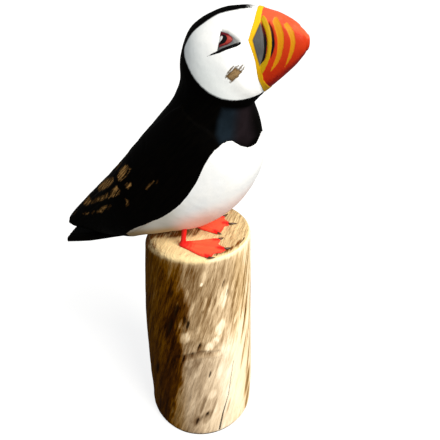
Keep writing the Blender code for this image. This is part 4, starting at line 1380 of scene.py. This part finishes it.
    # painted shadow on the top under the body; with it a darker ring round the toe tips by the front edge, a browner
    # back right and a darker worn back-left edge
    under = eased(y + centreY + 24 - 0.42 * (x + 34), -3, 5) * eased(x, 13, -6)
    ring = hump(fromMiddle, 2.2, 39.2) * eased(aroundTop, -66, -52) * faded(aroundTop, -14, -2)
    wornTop = eased(fromMiddle, 25, 43) * hump(wrapped(aroundTop - 207), 44)
    shadeAndStain = np.max([0.85 * under, 0.75 * ring, 0.36 * eased(0.7 * x + 0.7 * y, -22, 14), 0.62 * wornTop], 0)
    split = 0.42 - np.hypot(fromMiddle - 40.2, 0.9 * np.maximum(np.abs(aroundTop + 11) * 0.7 - 4.2, 0))
    points = np.stack([x + centreX, y + centreY, height + lift - tall], -1)
    # the pale worn rim is painted only on the lit front right, where it also stands for a painted highlight
    rimLitSide = eased(wrapped(degrees + 12), -62, -38) * faded(wrapped(degrees + 12), 60, 110)
    leftRim = hump(np.degrees(turn)[None], rimReach, rimSide)
    values = {
        "peeled": peeled,
        "knot": knotField,
        "crack": crack - 0.5 * crackFoot,
        "onTop": (height - (tall - bevel * 0.75)) + 1.4 * blotch + 6.6 * leftRim,
        "wornRimHighlight": eased(fromMiddle + 0.8 * fringe, 41.6, 42.9) * eased(height, tall - 6.5, tall - 4) * rimLitSide,
        "greyed": (1 - 0.5 * eased(height, 95, 135)) * eased(around, -100, -84) * faded(around, -46, -22),
        "streaky": 0.5 + 0.5 * eased(height + 20 * blotch, 62, 128),
        "shadeAndStain": shadeAndStain,
        "split": np.where(isTop > 0, split, -9),
    }
    return tubePiece("peeled_log", placeInWorld(points), values, {"grain": grain * mm})


woodTones = [(0, (34, 12, 0)), (0.07, (62, 31, 0)), (0.2, (99, 62, 12)), (0.42, (139, 111, 74)),
             (0.62, (186, 158, 120)), (0.8, (227, 201, 161)), (1, (248, 236, 208))]
logPaint = coloursOf({
    "knot": (30, 16, 4),
    "top": (234, 210, 158),
    "topDark": (118, 68, 16),
    "wornRimHighlight": (253, 238, 198),
})


def paintLog():
    material, tree = newMaterial("peeledWood")
    grain = fieldOf(tree, "grain", "Vector")
    coarse = strokesAt(tree, (0, 0, 0), 240, 26, 20, grain)
    fine = strokesAt(tree, (0, 0, 0), 620, 64, 21, grain)
    ticks = strokesAt(tree, (0, 0, 0), 1100, 130, 26, grain)
    peeled = fieldOf(tree, "peeled")
    room = times(tree, spreadOf(tree, peeled, 0, 0.45, 0.5, 1), "streaky")
    wobble = 0.0
    for tone, share in ((coarse["Tone"], 0.16), (fine["Tone"], 0.17), (fine["Fine"], 0.1)):
        wobble = timesPlus(tree, evenOut(tree, tone), share, wobble)
    wobble = minus(tree, wobble, spreadOf(tree, ticks["Tone"], 0.64, 0.76, 0, 0.1))
    wobble = plus(tree, wobble, spreadOf(tree, ticks["Tone"], 0.4, 0.3, 0, 0.05))
    shade = timesPlus(tree, wobble, room, peeled)
    ramp = addNode(tree, "ValToRGB", {"Fac": shade})
    stops = ramp.color_ramp.elements
    for k, (place, colour) in enumerate(woodTones):
        stop = stops[k] if k < 2 else stops.new(place)
        stop.position, stop.color = place, colourOf(*colour)
    depth = timesPlus(tree, "greyed", -0.26, 1.1)
    colour = addNode(tree, "HueSaturation", {"Color": ramp.outputs["Color"], "Saturation": depth}).outputs[0]
    knot = edgeOf(tree, "knot", fine["Tone"], 1.2, 0.8)
    colour = blendOf(tree, times(tree, knot, 0.9), colour, logPaint["knot"])
    crackMask = spreadOf(tree, "crack", 0.7, 0.2, 0, 0.85)
    colour = blendOf(tree, crackMask, colour, logPaint["knot"])

    sawn = strokesAt(tree, (90, 0, 37), 330, 45, 23)
    sawnFine = strokesAt(tree, (90, 0, 37), 900, 90, 24)
    # the top darkens where painted shadow and stain lie, and its saw strokes show most there
    shadeAndStain = fieldOf(tree, "shadeAndStain")
    stroke = plus(tree, evenOut(tree, sawnFine["Tone"]), evenOut(tree, sawn["Tone"]))
    stroke = times(tree, stroke, timesPlus(tree, shadeAndStain, 0.75, 0.14))
    topShade = spreadOf(tree, plus(tree, shadeAndStain, stroke), 0, 1)
    top = blendOf(tree, topShade, logPaint["top"], logPaint["topDark"])
    # pale worn rim with a painted highlight on the lit side
    top = blendOf(tree, spreadOf(tree, "wornRimHighlight", 0.2, 0.8), top, logPaint["wornRimHighlight"])
    top = blendOf(tree, edgeOf(tree, "split", sawnFine["Tone"], 0.3, 0.4), top, logPaint["knot"])
    onTop = edgeOf(tree, "onTop", coarse["Tone"], 1.4, 5.2)
    colour = blendOf(tree, onTop, colour, top)
    sideHeight = timesPlus(tree, fine["Tone"], 0.6, coarse["Tone"])
    topHeight = timesPlus(tree, sawnFine["Tone"], 0.6, sawn["Tone"])
    height = betweenOf(tree, onTop, sideHeight, topHeight)
    return finishLook(material, colour, roughOf(tree, coarse["Tone"], 0.68, 0.85), 0.02, height, 0.0006, 0.7)


settle(buildLog(), "log_wood", paintLog(), "log_post")
print("log turned")
